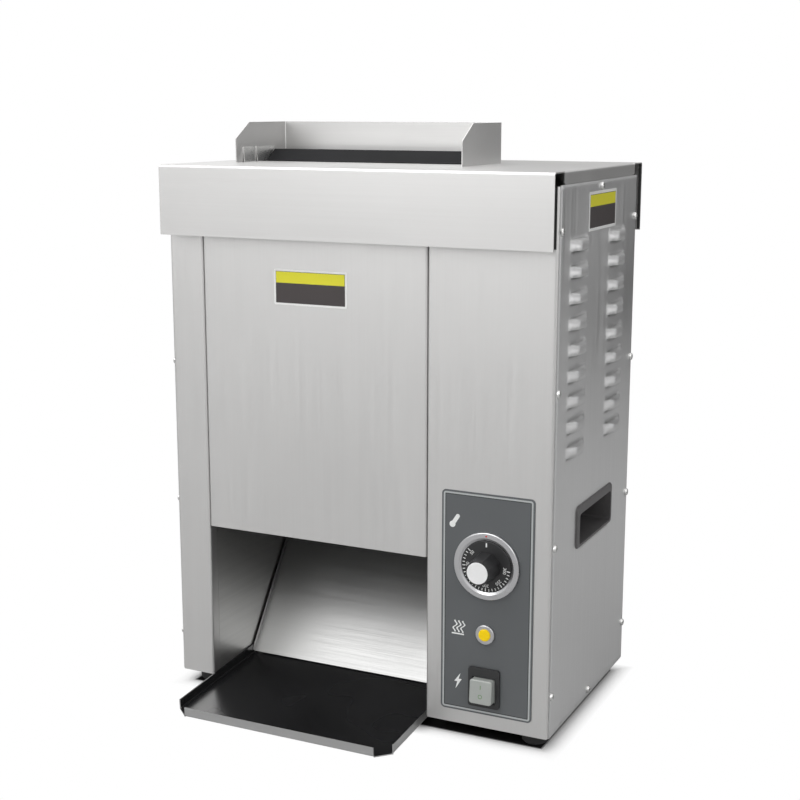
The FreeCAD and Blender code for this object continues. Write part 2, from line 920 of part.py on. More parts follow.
# Left chamber wall with a foot that lies on the pan
def left_liner():
    low = sheet + fit_gap
    foot_end = chamber_left - liner_sheet - liner_foot
    path = [(foot_end, low), (chamber_left, low), (chamber_left, liner_top), (foot_end, liner_top)]
    start = return_flange + fit_gap
    wall = bent("y", path, liner_sheet, start, rear_liner_place, left=True)
    return wall.cut(shaft_holes())


# Wall between the chamber and the control side
def partition():
    low = sheet + fit_gap
    foot_end = partition_outer + liner_foot
    path = [(foot_end, low), (chamber_right, low), (chamber_right, liner_top), (foot_end, liner_top)]
    start = return_flange + fit_gap
    wall = bent("y", path, liner_sheet, start, case_depth - sheet - side_flange, left=False)
    holes = []
    for height in (element_low, element_high):
        middle = (chamber_right - overrun, platen_rear, height)
        holes.append(bar(middle, ACROSS, 3 * overrun, element_diameter + 2 * element_hole_gap))
    return wall.cut(Part.makeCompound(holes)).cut(bulb_way()).cut(shaft_holes())


# The way for the thin tube and its bulb through walls and rails
def bulb_way():
    start = (chamber_right - platen_rail_reach - overrun, bulb_depth(), bulb_height())
    return bar(start, ACROSS, platen_rail_reach + 3 * overrun, bulb_diameter + 2 * element_hole_gap)


# Hole for the drive shaft and its bushes through plates and walls
def shaft_holes():
    start = (chamber_left - 3 * overrun, roller_axis_place, drive_axis_height)
    return bar(start, ACROSS, chamber_width + 6 * overrun, bush_diameter + 2 * slip_gap)


# Wall behind the insulation
def rear_liner():
    left = chamber_left + seam_gap
    right = chamber_right - seam_gap
    front = rear_liner_place - guard_flange
    path = [(left, front), (left, rear_liner_place), (right, rear_liner_place), (right, front)]
    return bent("z", path, liner_sheet, rear_liner_bottom, guard_top, left=False)


# Shield in front of the belt, with flanges against both walls
def belt_guard():
    left = chamber_left + seam_gap
    right = chamber_right - seam_gap
    front = belt_guard_place - guard_flange
    path = [(left, front), (left, belt_guard_place), (right, belt_guard_place), (right, front)]
    return bent("z", path, liner_sheet, belt_guard_bottom, guard_top, left=False)


# Slide that carries the buns from under the belt to the tray
def discharge_slide():
    rise = math.tan(math.radians(slide_angle)) * slide_run
    low = (slide_front_place, slide_front_height)
    high = (slide_rear_place, slide_front_height + rise)
    left = chamber_left + slide_left_gap
    right = chamber_right - slide_right_gap
    path = [low, high, (slide_rear_place, slide_rear_flange_top)]
    slide = bent("x", path, liner_sheet, left, right, left=False, radius=slide_bend_radius)
    flanges = []
    for start in (left, right - liner_sheet):
        flanges.append(bent("x", [low, high], slide_flange, start, start + liner_sheet))
    ear_low = slide_rear_flange_top - slide_ear_height
    ears = block((chamber_left + fit_gap, slide_rear_place, ear_low),
                 (chamber_right - fit_gap, slide_rear_place + liner_sheet, slide_rear_flange_top))
    return joined([slide, ears] + flanges)


# Height of the slide's underside at a depth
def slide_under(depth):
    rise = math.tan(math.radians(slide_angle)) * (depth - slide_front_place)
    return slide_front_height + rise - liner_sheet / math.cos(math.radians(slide_angle))


# Landing tray with low walls and open cut corners, leaning to the front
def landing_tray():
    left = chamber_left + tray_left_gap
    right = chamber_right - tray_right_gap
    slope = math.radians(tray_slope)
    length = (tray_rear - tray_front) / math.cos(slope)
    short = length - tray_corner_depth
    corner_left = left + tray_corner_width
    corner_right = right - tray_corner_width
    corners = [(left, 0), (left, -short), (corner_left, -length), (corner_right, -length),
               (right, -short), (right, 0)]
    floor = pulled("z", corners, 0, sheet)
    inset = sheet + bend_radius
    left_end = -tray_left_wall_inset
    right_end = -tray_right_wall_inset
    floor = floor.cut(block((left - overrun, -short, -overrun), (left + inset, left_end, overrun)))
    floor = floor.cut(block((right - inset, -short, -overrun), (right + overrun, right_end, overrun)))
    floor = floor.cut(block((corner_left, -length - overrun, -overrun),
                            (corner_right, -length + inset, overrun)))
    left_wall = bent("y", [(left, tray_wall), (left, 0), (corner_left, 0)], sheet, -short, left_end)
    right_wall = bent("y", [(corner_right, 0), (right, 0), (right, tray_wall)], sheet, -short, right_end)
    path = [(-length, tray_wall), (-length, 0), (-short, 0)]
    lip = bent("x", path, sheet, corner_left, corner_right)
    drop = foot_height + tray_height_at_rear() - tray_leg_gap
    path = [(-tray_corner_depth, sheet), (0, sheet), (0, sheet - drop / math.cos(slope))]
    leg = bent("x", path, sheet, corner_left, corner_right, left=False)
    floor = floor.cut(block((corner_left, -inset, -overrun), (corner_right, overrun, overrun)))
    tray = joined([floor, left_wall, right_wall, lip, leg])
    tray.rotate(V(0, 0, 0), ACROSS, tray_slope)
    tray.translate(V(0, tray_rear, tray_height_at_rear()))
    return tray


# Height of the tray's underside at its rear end
def tray_height_at_rear():
    rise = math.tan(math.radians(tray_slope)) * (tray_rear - tray_front)
    return rise + tray_front_height - foot_height


# Cast plate with round channels in its back for the element
def platen():
    plate = block((platen_left, platen_face_place, platen_bottom), (platen_right, platen_rear, platen_top))
    lead = []
    for edge in plate.Edges:
        box = edge.BoundBox
        if box.ZMin > platen_top - fit_gap and box.YMax < platen_face_place + fit_gap:
            lead.append(edge)
    plate = plate.makeChamfer(platen_lead_in, lead)
    channel_width = element_diameter + 2 * slip_gap
    channel = bent_bar(element_path(overrun), channel_width, element_run_spacing / 2)
    return plate.cut(channel)


# Height of one straight run of the element
def element_height(index):
    return element_low + index * element_run_spacing


# Corner points of the element path, from one terminal to the other
def element_path(extra):
    exit_x = partition_outer + element_exit + extra
    left = platen_left + element_turn_inset
    right = platen_right - element_turn_inset
    heights = [element_height(index) for index in range(element_runs)]
    y = platen_rear
    points = [(exit_x, y, heights[0])]
    for index in range(element_runs - 1):
        side = left if index % 2 == 0 else right
        points.append((side, y, heights[index]))
        points.append((side, y, heights[index + 1]))
    points.append((exit_x, y, heights[-1]))
    return points


# Bent tubular heating element
def heating_element():
    return bent_bar(element_path(0), element_diameter, element_run_spacing / 2)


# Plate that presses the element into the casting
def element_clamp():
    y = platen_rear + element_diameter / 2 + fit_gap
    low = (platen_left + clamp_edge_inset, y, platen_bottom + clamp_end_inset)
    high = (platen_right - clamp_edge_inset, y + clamp_sheet, platen_top - clamp_end_inset)
    plate = block(low, high)
    reach = element_diameter / 2 + fit_gap + clamp_sheet
    bosses = []
    for x in (low[0] + clamp_edge_inset / 2, high[0] - clamp_edge_inset / 2):
        for index in range(element_runs - 1):
            z = element_height(index) + element_run_spacing / 2
            bosses.append(bar((x, platen_rear, z), BACK, reach, screw_head_diameter))
    return joined([plate] + bosses)


# Angle that holds the heated plate to the left wall
def platen_rail():
    x = chamber_left
    path = [(x, platen_rear + platen_rail_depth), (x, platen_rear), (x + platen_rail_reach, platen_rear)]
    rail_top = platen_top - release_sheet_hook - hook_gap
    rail = bent("z", path, platen_rail_sheet, platen_bottom, rail_top)
    for height in (element_low, element_high):
        way = bar((x - overrun, platen_rear, height), ACROSS, platen_rail_reach + 2 * overrun,
                  element_diameter + 2 * element_hole_gap)
        rail = rail.cut(way)
    bulb_hole = bar((x - overrun, bulb_depth(), bulb_height()), ACROSS, 3 * overrun,
                    bulb_diameter + 2 * element_hole_gap)
    return rail.cut(bulb_hole)


# Thin release sheet over the front of the heated plate
def release_sheet():
    front = platen_face_place - fit_gap
    rear = platen_rear + fit_gap
    high = platen_top + fit_gap
    path = [(front, platen_bottom - release_sheet_overhang), (front, platen_top - platen_lead_in),
            (platen_face_place + platen_lead_in, high), (rear, high),
            (rear, platen_top - release_sheet_hook)]
    return bent("x", path, release_sheet_thickness, platen_left + fit_gap, platen_right - fit_gap,
                radius=release_sheet_thickness)


# Insulation behind the heated plate
def insulation():
    front = bulb_depth() + bulb_diameter / 2 + bulb_gap
    low = (chamber_left + insulation_side_gap, front, platen_bottom + insulation_end_inset)
    high = (chamber_right - insulation_side_gap, rear_liner_place - liner_sheet,
            platen_top - insulation_end_inset)
    return block(low, high)


# Belt loop round both rollers
def belt():
    inner = roller_diameter / 2 + belt_clearance
    outer = inner + belt_thickness
    width = belt_right - belt_left
    loops = []
    for radius in (outer, inner):
        low = bar((belt_left, roller_axis_place, drive_axis_height), ACROSS, width, 2 * radius)
        high = bar((belt_left, roller_axis_place, idler_axis_height), ACROSS, width, 2 * radius)
        body = block((belt_left, roller_axis_place - radius, drive_axis_height),
                     (belt_right, roller_axis_place + radius, idler_axis_height))
        loops.append(joined([low, high, body]))
    return loops[0].cut(loops[1])


# A drum with its shaft, the drive roller reaching into the gearbox
def roller(height, left_end, right_end):
    drum = bar((drum_left, roller_axis_place, height), ACROSS, drum_right - drum_left, roller_diameter)
    shaft = bar((left_end, roller_axis_place, height), ACROSS, right_end - left_end, shaft_diameter)
    return joined([drum, shaft])


# A flanged bush for the drive shaft, drawn on the left
def bush(wall_outer, inward):
    start = V(wall_outer, roller_axis_place, drive_axis_height)
    reach = plate_sheet + liner_sheet + seam_gap
    sleeve = bar(start, ACROSS * inward, reach + bush_flange, bush_diameter)
    flange = bar(start + ACROSS * inward * reach, ACROSS * inward, bush_flange, bush_flange_diameter)
    back = start - ACROSS * inward * overrun
    bore = bar(back, ACROSS * inward, reach + bush_flange + 2 * overrun, shaft_diameter + slip_gap)
    return joined([sleeve, flange]).cut(bore)


# Side plate of the conveyor with a tab over the bearing block
def conveyor_plate():
    x = chamber_left
    path = [(x, plate_bottom), (x, plate_top), (x + plate_tab, plate_top)]
    plate = bent("y", path, plate_sheet, plate_front, plate_rear, left=False)
    hole = bar((take_up_across(), roller_axis_place, plate_top - 2 * overrun), UP, 4 * overrun,
               take_up_screw_diameter + 2 * slip_gap)
    return plate.cut(hole).cut(shaft_holes())


# Where the take-up screw stands across the case
def take_up_across():
    return chamber_left + plate_sheet + block_thickness / 2 + slip_gap


# Bearing block of the idler shaft
def take_up_block():
    x = chamber_left + plate_sheet
    low = (x, roller_axis_place - block_depth / 2, idler_axis_height - block_height / 2)
    high = (x + block_thickness, roller_axis_place + block_depth / 2, idler_axis_height + block_height / 2)
    hole = bar((x - overrun, roller_axis_place, idler_axis_height), ACROSS, block_thickness + 2 * overrun,
               shaft_diameter + slip_gap)
    return block(low, high).cut(hole)


# Screw that pulls the bearing block up
def take_up_screw():
    low = idler_axis_height + block_height / 2
    shank = bar((take_up_across(), roller_axis_place, low), UP, plate_top - low, take_up_screw_diameter)
    head = bar((take_up_across(), roller_axis_place, plate_top), UP, take_up_head_height,
               take_up_head_diameter)
    return joined([shank, head])


# Backing plate behind the working run of the belt
def belt_support():
    y = belt_rear_place - belt_thickness - belt_clearance - support_gap
    left = chamber_left + plate_sheet + fit_gap
    right = chamber_right - plate_sheet - fit_gap
    path = [(left, y - support_flange), (left, y), (right, y), (right, y - support_flange)]
    return bent("z", path, support_sheet, support_bottom, support_top, left=False)


# A cross rod between the conveyor plates
def tie_rod(height):
    left = chamber_left + plate_sheet
    return bar((left, tie_rod_place, height), ACROSS, chamber_width - 2 * plate_sheet, tie_rod_diameter)


# Gearbox on the outer face of the partition
def gearbox():
    half = gearbox_size / 2
    low = (roller_axis_place - half, drive_axis_height - half)
    high = (roller_axis_place + half, drive_axis_height + half)
    body = rounded_plate("x", low, high, partition_outer, partition_outer + gearbox_length, gearbox_round)
    bore = bar((partition_outer - overrun, roller_axis_place, drive_axis_height), ACROSS,
               drive_shaft_reach + 2 * overrun, shaft_diameter + slip_gap)
    seat = bar((partition_outer - overrun, roller_axis_place, drive_axis_height), ACROSS,
               2 * overrun, bush_flange_diameter)
    return body.cut(bore).cut(seat)


# Motor can on the gearbox
def motor_can():
    start = partition_outer + gearbox_length
    can = bar((start, roller_axis_place, drive_axis_height), ACROSS, motor_length, motor_diameter)
    rim = [e for e in can.Edges if e.BoundBox.XMin > start + motor_length - fit_gap]
    return can.makeFillet(motor_rim, rim)


# Screw places of the fan on the rear panel
def fan_screw_places():
    half = fan_hole_spacing / 2
    return [(fan_middle_across + a * half, fan_middle_height + b * half) for a in (-1, 1) for b in (-1, 1)]


# Fan frame with struts that carry the motor stub
def fan_frame():
    rear = case_depth - sheet
    front = rear - fan_depth
    half = fan_size / 2
    low = (fan_middle_across - half, fan_middle_height - half)
    high = (fan_middle_across + half, fan_middle_height + half)
    frame = rounded_plate("y", low, high, front, rear, fan_corner)
    middle = (fan_middle_across, front - overrun, fan_middle_height)
    frame = frame.cut(bar(middle, BACK, fan_depth + 2 * overrun, fan_bore))
    for x, z in fan_screw_places():
        hole = bar((x, front - overrun, z), BACK, fan_depth + 2 * overrun, screw_hole_diameter)
        frame = frame.cut(hole)
    struts = []
    reach = fan_bore / 2 + fan_tip_gap
    for index in (0, 1):
        arm = block((-reach, 0, -fan_strut_width / 2), (reach, fan_strut_depth, fan_strut_width / 2))
        arm.rotate(V(0, 0, 0), BACK, fan_strut_angle + 90 * index)
        arm.translate(V(fan_middle_across, front, fan_middle_height))
        struts.append(arm)
    stub = bar((fan_middle_across, front, fan_middle_height), BACK, fan_strut_depth, fan_hub_diameter)
    axle = bar((fan_middle_across, front, fan_middle_height), BACK, fan_depth / 2, fan_axle_diameter)
    return joined([frame, stub, axle] + struts)


# Fan hub with slanted blades
def fan_rotor():
    rear = case_depth - sheet
    front = rear - fan_depth + fan_strut_depth + fan_hub_gap
    hub_length = fan_depth - fan_strut_depth - 2 * fan_hub_gap - fan_wall
    hub = bar((0, 0, 0), BACK, hub_length, fan_hub_diameter)
    tip = fan_bore / 2 - fan_tip_gap
    blades = []
    for index in range(fan_blade_count):
        blade = block((-fan_blade_chord / 2, -fan_blade_thickness / 2, fan_hub_diameter / 2 - fan_wall),
                      (fan_blade_chord / 2, fan_blade_thickness / 2, tip + fan_wall))
        blade.rotate(V(0, 0, 0), UP, fan_blade_angle)
        blade.translate(V(0, hub_length / 2, 0))
        blade.rotate(V(0, 0, 0), BACK, 360 / fan_blade_count * index)
        blades.append(blade)
    keep = bar((0, 0, 0), BACK, hub_length, 2 * tip)
    rotor = joined([hub] + [b.common(keep) for b in blades])
    bore_depth = fan_depth / 2 - fan_strut_depth
    bore = bar((0, -overrun, 0), BACK, overrun + bore_depth, fan_axle_diameter + 2 * fan_hub_gap)
    rotor = rotor.cut(bore)
    rotor.translate(V(fan_middle_across, front, fan_middle_height))
    return rotor


# Wire guard outside the fan hole, its rings welded onto four radial wires
def fan_grille():
    y = case_depth + grille_eye_thickness / 2
    middle = V(fan_middle_across, y, fan_middle_height)
    ring_middle = middle + BACK * (grille_wire - grille_weld_sink)
    pieces = []
    for index in range(grille_ring_count):
        radius = grille_ring_radius + index * grille_ring_spacing
        pieces.append(Part.makeTorus(radius, grille_wire / 2, ring_middle, BACK))
    eye_holes = []
    for x, z in fan_screw_places():
        eye = V(x, y, z)
        way = (eye - middle).normalize()
        start = middle + way * (grille_ring_radius - grille_wire)
        spoke = Part.makeCylinder(grille_wire / 2, (eye - start).Length, start, way)
        washer = bar((x, case_depth, z), BACK, grille_eye_thickness, screw_head_diameter)
        pieces += [spoke, washer]
        eye_holes.append(bar((x, case_depth - overrun, z), BACK, 3 * overrun, screw_hole_diameter))
    return joined(pieces).cut(Part.makeCompound(eye_holes))


# Printed panel in front of the control front
def control_overlay():
    low = (overlay_left, overlay_bottom)
    high = (overlay_left + overlay_width, overlay_bottom + overlay_height)
    plate = rounded_plate("y", low, high, -overlay_thickness, 0, overlay_corner)
    return plate.cut(control_holes())


# Metal ring round the dial with a bevelled inner edge
def dial_bezel():
    rear = -overlay_thickness
    front = rear - bezel_thickness
    ring = tube((dial_across, front, dial_height), BACK, bezel_thickness, bezel_diameter, bezel_bore)
    ring = ring.makeFillet(bezel_outer_round, front_circles(ring, front, bezel_diameter))
    inner = bezel_bore / 2
    dish = Part.makeCone(inner + bezel_dish_width, inner, bezel_dish_depth, V(dial_across, front, dial_height), BACK)
    return ring.cut(dish)


# Circles of a given diameter on the front face of a turned piece
def front_circles(shape, front, diameter):
    chosen = []
    for edge in shape.Edges:
        box = edge.BoundBox
        if box.YMax < front + fit_gap and abs(box.XLength - diameter) < fit_gap:
            chosen.append(edge)
    return chosen


# Dial skirt with a faceted grip that narrows to the front
def thermostat_dial():
    rear = -overlay_thickness - skirt_lift
    front = rear - skirt_thickness
    skirt = bar((dial_across, front, dial_height), BACK, skirt_thickness, skirt_diameter)
    loops = []
    for y, diameter in ((front, grip_base_diameter), (front - grip_length, grip_front_diameter)):
        corners = []
        for index in range(grip_sides):
            turn = 2 * math.pi * (index + grip_turn_share) / grip_sides
            x = dial_across + diameter / 2 * math.cos(turn)
            z = dial_height + diameter / 2 * math.sin(turn)
            corners.append(V(x, y, z))
        loops.append(Part.makePolygon(corners + [corners[0]]))
    grip = Part.makeLoft(loops, True)
    face = front - grip_length
    seat = bar((dial_across, face - overrun, dial_height), BACK, overrun + cap_recess,
               cap_diameter + slip_gap)
    bore = bar((dial_across, front - grip_length / 2, dial_height), BACK, grip_length,
               dial_shaft_diameter + slip_gap)
    return joined([skirt, grip]).cut(seat).cut(bore)


# White cap in the front of the grip
def dial_cap():
    face = -overlay_thickness - skirt_lift - skirt_thickness - grip_length
    front = face - cap_proud
    cap = bar((dial_across, front, dial_height), BACK, cap_proud + cap_recess, cap_diameter)
    return cap.makeFillet(cap_round, front_circles(cap, front, cap_diameter))


# Shaft that turns with the dial
def thermostat_shaft():
    front = -overlay_thickness - skirt_lift - skirt_thickness - grip_length / 2 + slip_gap
    length = sheet + dial_shaft_depth - front
    return bar((dial_across, front, dial_height), BACK, length, dial_shaft_diameter)


# Thermostat with a threaded neck through the panel
def thermostat_body():
    neck_front = -overlay_thickness
    neck = bar((dial_across, neck_front, dial_height), BACK, sheet - neck_front + thermostat_neck_sink,
               thermostat_neck_diameter)
    low = (dial_across - thermostat_width / 2, sheet, dial_height - thermostat_height / 2)
    high = (dial_across + thermostat_width / 2, sheet + thermostat_depth, dial_height + thermostat_height / 2)
    box = block(low, high)
    bore = bar((dial_across, neck_front - overrun, dial_height), BACK,
               overrun - neck_front + sheet + dial_shaft_depth + slip_gap, dial_shaft_diameter + slip_gap)
    return joined([neck, box]).cut(bore)


# Height of the sensing bulb behind the heated plate
def bulb_height():
    return (element_low + element_high) / 2


# Depth of the bulb, close behind the clamp plate
def bulb_depth():
    clamp_rear = platen_rear + element_diameter / 2 + fit_gap + clamp_sheet
    return clamp_rear + bulb_gap + bulb_diameter / 2


# Thin tube from the thermostat to its bulb behind the heated plate
def capillary():
    rear = sheet + thermostat_depth
    high = bulb_height()
    across = dial_across + thermostat_width * capillary_across_share
    level = bulb_depth()
    end = platen_right - clamp_edge_inset
    turn = rear + capillary_standoff
    points = [(across, rear, dial_height), (across, turn, dial_height), (across, turn, high),
              (across, level, high), (end - capillary_seat, level, high)]
    line = bent_bar(points, capillary_diameter, capillary_bend_radius)
    bulb = bar((end - bulb_length, level, high), ACROSS, bulb_length, bulb_diameter)
    return joined([line, bulb])


# Metal body and rim of the pilot lamp
def lamp_bezel():
    rear = -overlay_thickness
    front = rear - lamp_bezel_thickness
    rim = bar((lamp_across, front, lamp_height), BACK, lamp_bezel_thickness, lamp_bezel_diameter)
    rim = rim.makeFillet(lamp_bezel_round, front_circles(rim, front, lamp_bezel_diameter))
    body = bar((lamp_across, rear - lamp_bezel_thickness / 2, lamp_height), BACK, lamp_body_length,
               lamp_body_diameter)
    seat = bar((lamp_across, front - overrun, lamp_height), BACK, overrun + lamp_bezel_thickness / 2,
               lamp_lens_diameter + slip_gap)
    return joined([rim, body]).cut(seat)


# Domed lens of the pilot lamp
def lamp_lens():
    rear = -overlay_thickness - lamp_bezel_thickness / 2
    front = -overlay_thickness - lamp_bezel_thickness - lamp_lens_proud
    lens = bar((lamp_across, front, lamp_height), BACK, rear - front, lamp_lens_diameter)
    return lens.makeFillet(lamp_lens_round, front_circles(lens, front, lamp_lens_diameter))


# Switch frame and body, hollow for the rocker
def switch_frame():
    rear = -overlay_thickness
    front = rear - switch_frame_proud
    wide = switch_frame_width / 2
    tall = switch_frame_height / 2
    low = (switch_across - wide, switch_height - tall)
    high = (switch_across + wide, switch_height + tall)
    frame = rounded_plate("y", low, high, front, rear, switch_frame_corner)
    wide = wide - switch_body_rim
    tall = tall - switch_body_rim
    body_rear = sheet + switch_body_depth
    body = block((switch_across - wide, rear - switch_frame_proud / 2, switch_height - tall),
                 (switch_across + wide, body_rear, switch_height + tall))
    wide = switch_frame_width / 2 - switch_side_rim
    tall = rocker_tall / 2 + rocker_end_gap
    hollow = block((switch_across - wide, front - overrun, rocker_height - tall),
                   (switch_across + wide, body_rear - switch_body_wall, rocker_height + tall))
    pin_hole = bar((switch_across - wide - overrun, rocker_pivot_place(), rocker_height), ACROSS,
                   2 * (wide + overrun), rocker_pin_diameter + slip_gap)
    return joined([frame, body]).cut(hollow).cut(pin_hole)


# Depth of the rocker's pivot
def rocker_pivot_place():
    return rocker_pivot_depth - overlay_thickness


# Rocker cap with round corners on a round-ended stem and two small pins, tipped to its resting side
def switch_rocker():
    wide = switch_frame_width / 2 - switch_side_rim - rocker_gap
    reach = rocker_tall / 2
    pivot = rocker_pivot_place()
    front = -overlay_thickness - switch_frame_proud - rocker_face_proud
    back = rocker_back_depth - overlay_thickness
    left = switch_across - wide
    right = switch_across + wide
    cap = rounded_plate("y", (left, rocker_height - reach), (right, rocker_height + reach), front, pivot,
                        rocker_corner)
    rim = [edge for edge in cap.Edges if edge.BoundBox.YMax < front + tiny]
    cap = cap.makeFillet(rocker_round, rim)
    drum = bar((left, pivot, rocker_height), ACROSS, 2 * wide, 2 * reach)
    stem = drum.common(block((left, pivot - rocker_gap, rocker_height - reach),
                             (right, back, rocker_height + reach)))
    pin = bar((left - rocker_pin_reach, pivot, rocker_height), ACROSS, 2 * (wide + rocker_pin_reach),
              rocker_pin_diameter)
    cap = joined([cap, stem, pin])
    cap.rotate(V(switch_across, pivot, rocker_height), ACROSS, -rocker_tilt)
    return cap


# Where the terminal block starts across and in depth
def terminal_place():
    return partition_outer + terminal_block_inset, case_depth - terminal_block_rear_inset


# Terminal block on the pan
def terminal_block():
    x, y = terminal_place()
    top = sheet + terminal_block_height
    body = block((x, y, sheet), (x + terminal_block_length, y + terminal_block_depth, top))
    step = terminal_block_length / terminal_count
    for index in range(terminal_count):
        middle = (x + step * index + step / 2, y + terminal_block_depth / 2, top - terminal_screw_depth)
        body = body.cut(bar(middle, UP, terminal_screw_depth + overrun, terminal_screw_diameter))
    return body


# Cable gland in the rear panel, with an open bore
def cable_gland():
    inside = case_depth - sheet - gland_inside
    thread = bar((gland_across, inside, gland_height), BACK, gland_inside + sheet, gland_thread_diameter)
    flange = bar((gland_across, case_depth, gland_height), BACK, gland_flange, gland_flange_diameter)
    nose = bar((gland_across, case_depth + gland_flange, gland_height), BACK, gland_nose, gland_nose_diameter)
    edge = [e for e in nose.Edges if e.BoundBox.YMin > case_depth + gland_flange + gland_nose - slip_gap]
    nose = nose.makeFillet(gland_nose_round, edge)
    length = gland_inside + sheet + gland_flange + gland_nose
    bore = bar((gland_across, inside - overrun, gland_height), BACK, length + 2 * overrun, gland_bore)
    return joined([thread, flange, nose]).cut(bore)


# Relay for the heater on the partition
def heater_relay():
    front = case_depth - relay_rear_inset
    low = (front, relay_bottom)
    high = (front + relay_depth, relay_bottom + relay_height)
    return rounded_plate("x", low, high, partition_outer, partition_outer + relay_reach, relay_round)


# Wires between the terminal block, switch, lamp and thermostat
def wiring():
    block_left, block_front = terminal_place()
    level = sheet + terminal_block_height / 2
    switch_rear = sheet + switch_body_depth
    lamp_rear = lamp_body_length - overlay_thickness - lamp_bezel_thickness / 2
    spread = 2 * wire_diameter
    ends = [(switch_across - spread, switch_rear, switch_height),
            (switch_across + spread, switch_rear, switch_height),
            (lamp_across, lamp_rear, lamp_height)]
    wires = []
    for index, end in enumerate(ends):
        x = end[0]
        reach = end[1] + wire_bend_radius * 2 + index * 2 * wire_diameter
        points = [(x, block_front, level), (x, reach, level), (x, reach, end[2]), end]
        wires.append(bent_bar(points, wire_diameter, wire_bend_radius))
    return Part.makeCompound(wires)


# All screws on the sides and the rear
def case_screws():
    screws = []
    for side in (-1, 1):
        for depth, height in side_screw_places():
            screws.append(screw((side * half_width, depth, height), ACROSS * side))
    for across, height in rear_screw_places():
        screws.append(screw((across, case_depth, height), BACK))
    return Part.makeCompound(screws)


# Both of a mirrored pair, the second on the other side of the chamber
def chamber_pair(shape):
    return shape, shape.mirror(V(chamber_middle, 0, 0), ACROSS)


def main():
    save(base_pan(), "base_pan")
    save(Part.makeCompound([foot(x, y) for x, y in foot_places()]), "rubber_feet")
    save(Part.makeCompound([foot_screw(x, y) for x, y in foot_places()]), "foot_screws")
    panel = side_panel()
    save(panel, "right_side_panel")
    save(mirrored(panel), "left_side_panel")
    handle = recess_handle()
    save(handle, "recess_handle_right")
    save(mirrored(handle), "recess_handle_left")
    save(rear_panel(), "rear_panel")
    save(left_front_post(), "left_front_post")
    save(front_cover(), "front_cover")
    save(control_front(), "control_front")
    rail = upper_rail()
    save(Part.makeCompound([rail, mirrored(rail)]), "upper_rails")
    save(top_cover(), "top_cover")
    save(hopper_guard(), "hopper_guard")
    guide = side_guide()
    hopper_middle = (hopper_left + hopper_right) / 2
    save(Part.makeCompound([guide, guide.mirror(V(hopper_middle, 0, 0), ACROSS)]), "side_guides")
    save(feed_ramp(), "feed_ramp")
    save(left_liner(), "left_liner")
    save(partition(), "partition")
    save(rear_liner(), "rear_liner")
    save(belt_guard(), "belt_guard")
    save(discharge_slide(), "discharge_slide")
    save(landing_tray(), "landing_tray")
    save(platen(), "platen")
    save(heating_element(), "heating_element")
    save(element_clamp(), "element_clamp")
    save(Part.makeCompound(chamber_pair(platen_rail())), "platen_rails")
    save(release_sheet(), "release_sheet")
    save(insulation(), "insulation")
    save(belt(), "belt")
    drive_left = chamber_left - liner_sheet - drive_shaft_left_reach
    save(roller(drive_axis_height, drive_left, partition_outer + drive_shaft_reach), "drive_roller")
    idler_left = chamber_left + plate_sheet + slip_gap
    idler_right = chamber_right - plate_sheet - slip_gap
    save(roller(idler_axis_height, idler_left, idler_right), "idler_roller")
    left_bush = bush(chamber_left - liner_sheet, 1)
    right_bush = bush(chamber_right + liner_sheet, -1)
    save(Part.makeCompound([left_bush, right_bush]), "shaft_bushes")
    left_plate, right_plate = chamber_pair(conveyor_plate())
    save(left_plate, "conveyor_plate_left")
    save(right_plate, "conveyor_plate_right")
    save(Part.makeCompound(chamber_pair(take_up_block())), "take_up_blocks")
    save(Part.makeCompound(chamber_pair(take_up_screw())), "take_up_screws")
    save(belt_support(), "belt_support")
    save(Part.makeCompound([tie_rod(height) for height in tie_rod_heights]), "tie_rods")
    save(gearbox(), "gearbox")
    save(motor_can(), "motor_can")
    save(fan_frame(), "fan_frame")
    save(fan_rotor(), "fan_rotor")
    save(fan_grille(), "fan_grille")
    save(control_overlay(), "control_overlay")
    save(dial_bezel(), "dial_bezel")
    save(thermostat_dial(), "thermostat_dial")
    save(dial_cap(), "dial_cap")
    save(thermostat_shaft(), "thermostat_shaft")
    save(thermostat_body(), "thermostat_body")
    save(capillary(), "capillary_tube")
    save(lamp_bezel(), "pilot_lamp_body")
    save(lamp_lens(), "pilot_lamp_lens")
    save(switch_frame(), "switch_frame")
    save(switch_rocker(), "switch_rocker")
    save(terminal_block(), "terminal_block")
    save(cable_gland(), "cable_gland")
    save(heater_relay(), "heater_relay")
    save(wiring(), "wiring")
    save(case_screws(), "case_screws")


main()
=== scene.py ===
import json
import math

import bmesh
import bpy
from mathutils import Matrix, Vector


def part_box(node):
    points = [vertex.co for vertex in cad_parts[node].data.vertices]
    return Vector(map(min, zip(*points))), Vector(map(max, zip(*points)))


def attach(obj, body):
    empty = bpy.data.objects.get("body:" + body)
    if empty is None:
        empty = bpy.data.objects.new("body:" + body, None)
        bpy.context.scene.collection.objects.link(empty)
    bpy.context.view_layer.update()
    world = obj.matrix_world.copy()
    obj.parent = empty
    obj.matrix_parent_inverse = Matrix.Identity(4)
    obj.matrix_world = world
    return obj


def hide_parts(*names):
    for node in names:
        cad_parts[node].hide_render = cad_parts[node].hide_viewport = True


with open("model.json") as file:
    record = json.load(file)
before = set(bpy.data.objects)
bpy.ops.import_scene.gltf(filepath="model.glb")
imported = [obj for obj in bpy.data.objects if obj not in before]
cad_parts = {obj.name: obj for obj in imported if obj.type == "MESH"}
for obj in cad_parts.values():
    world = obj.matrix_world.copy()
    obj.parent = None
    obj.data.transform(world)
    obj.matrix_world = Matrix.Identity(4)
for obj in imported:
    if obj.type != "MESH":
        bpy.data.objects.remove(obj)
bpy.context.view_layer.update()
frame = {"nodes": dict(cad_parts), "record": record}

# Sizes are in millimetres, in the frame of the solids, unless a name says otherwise
MM = 0.001
print_thickness = 0.06
smooth_angle = math.radians(34)


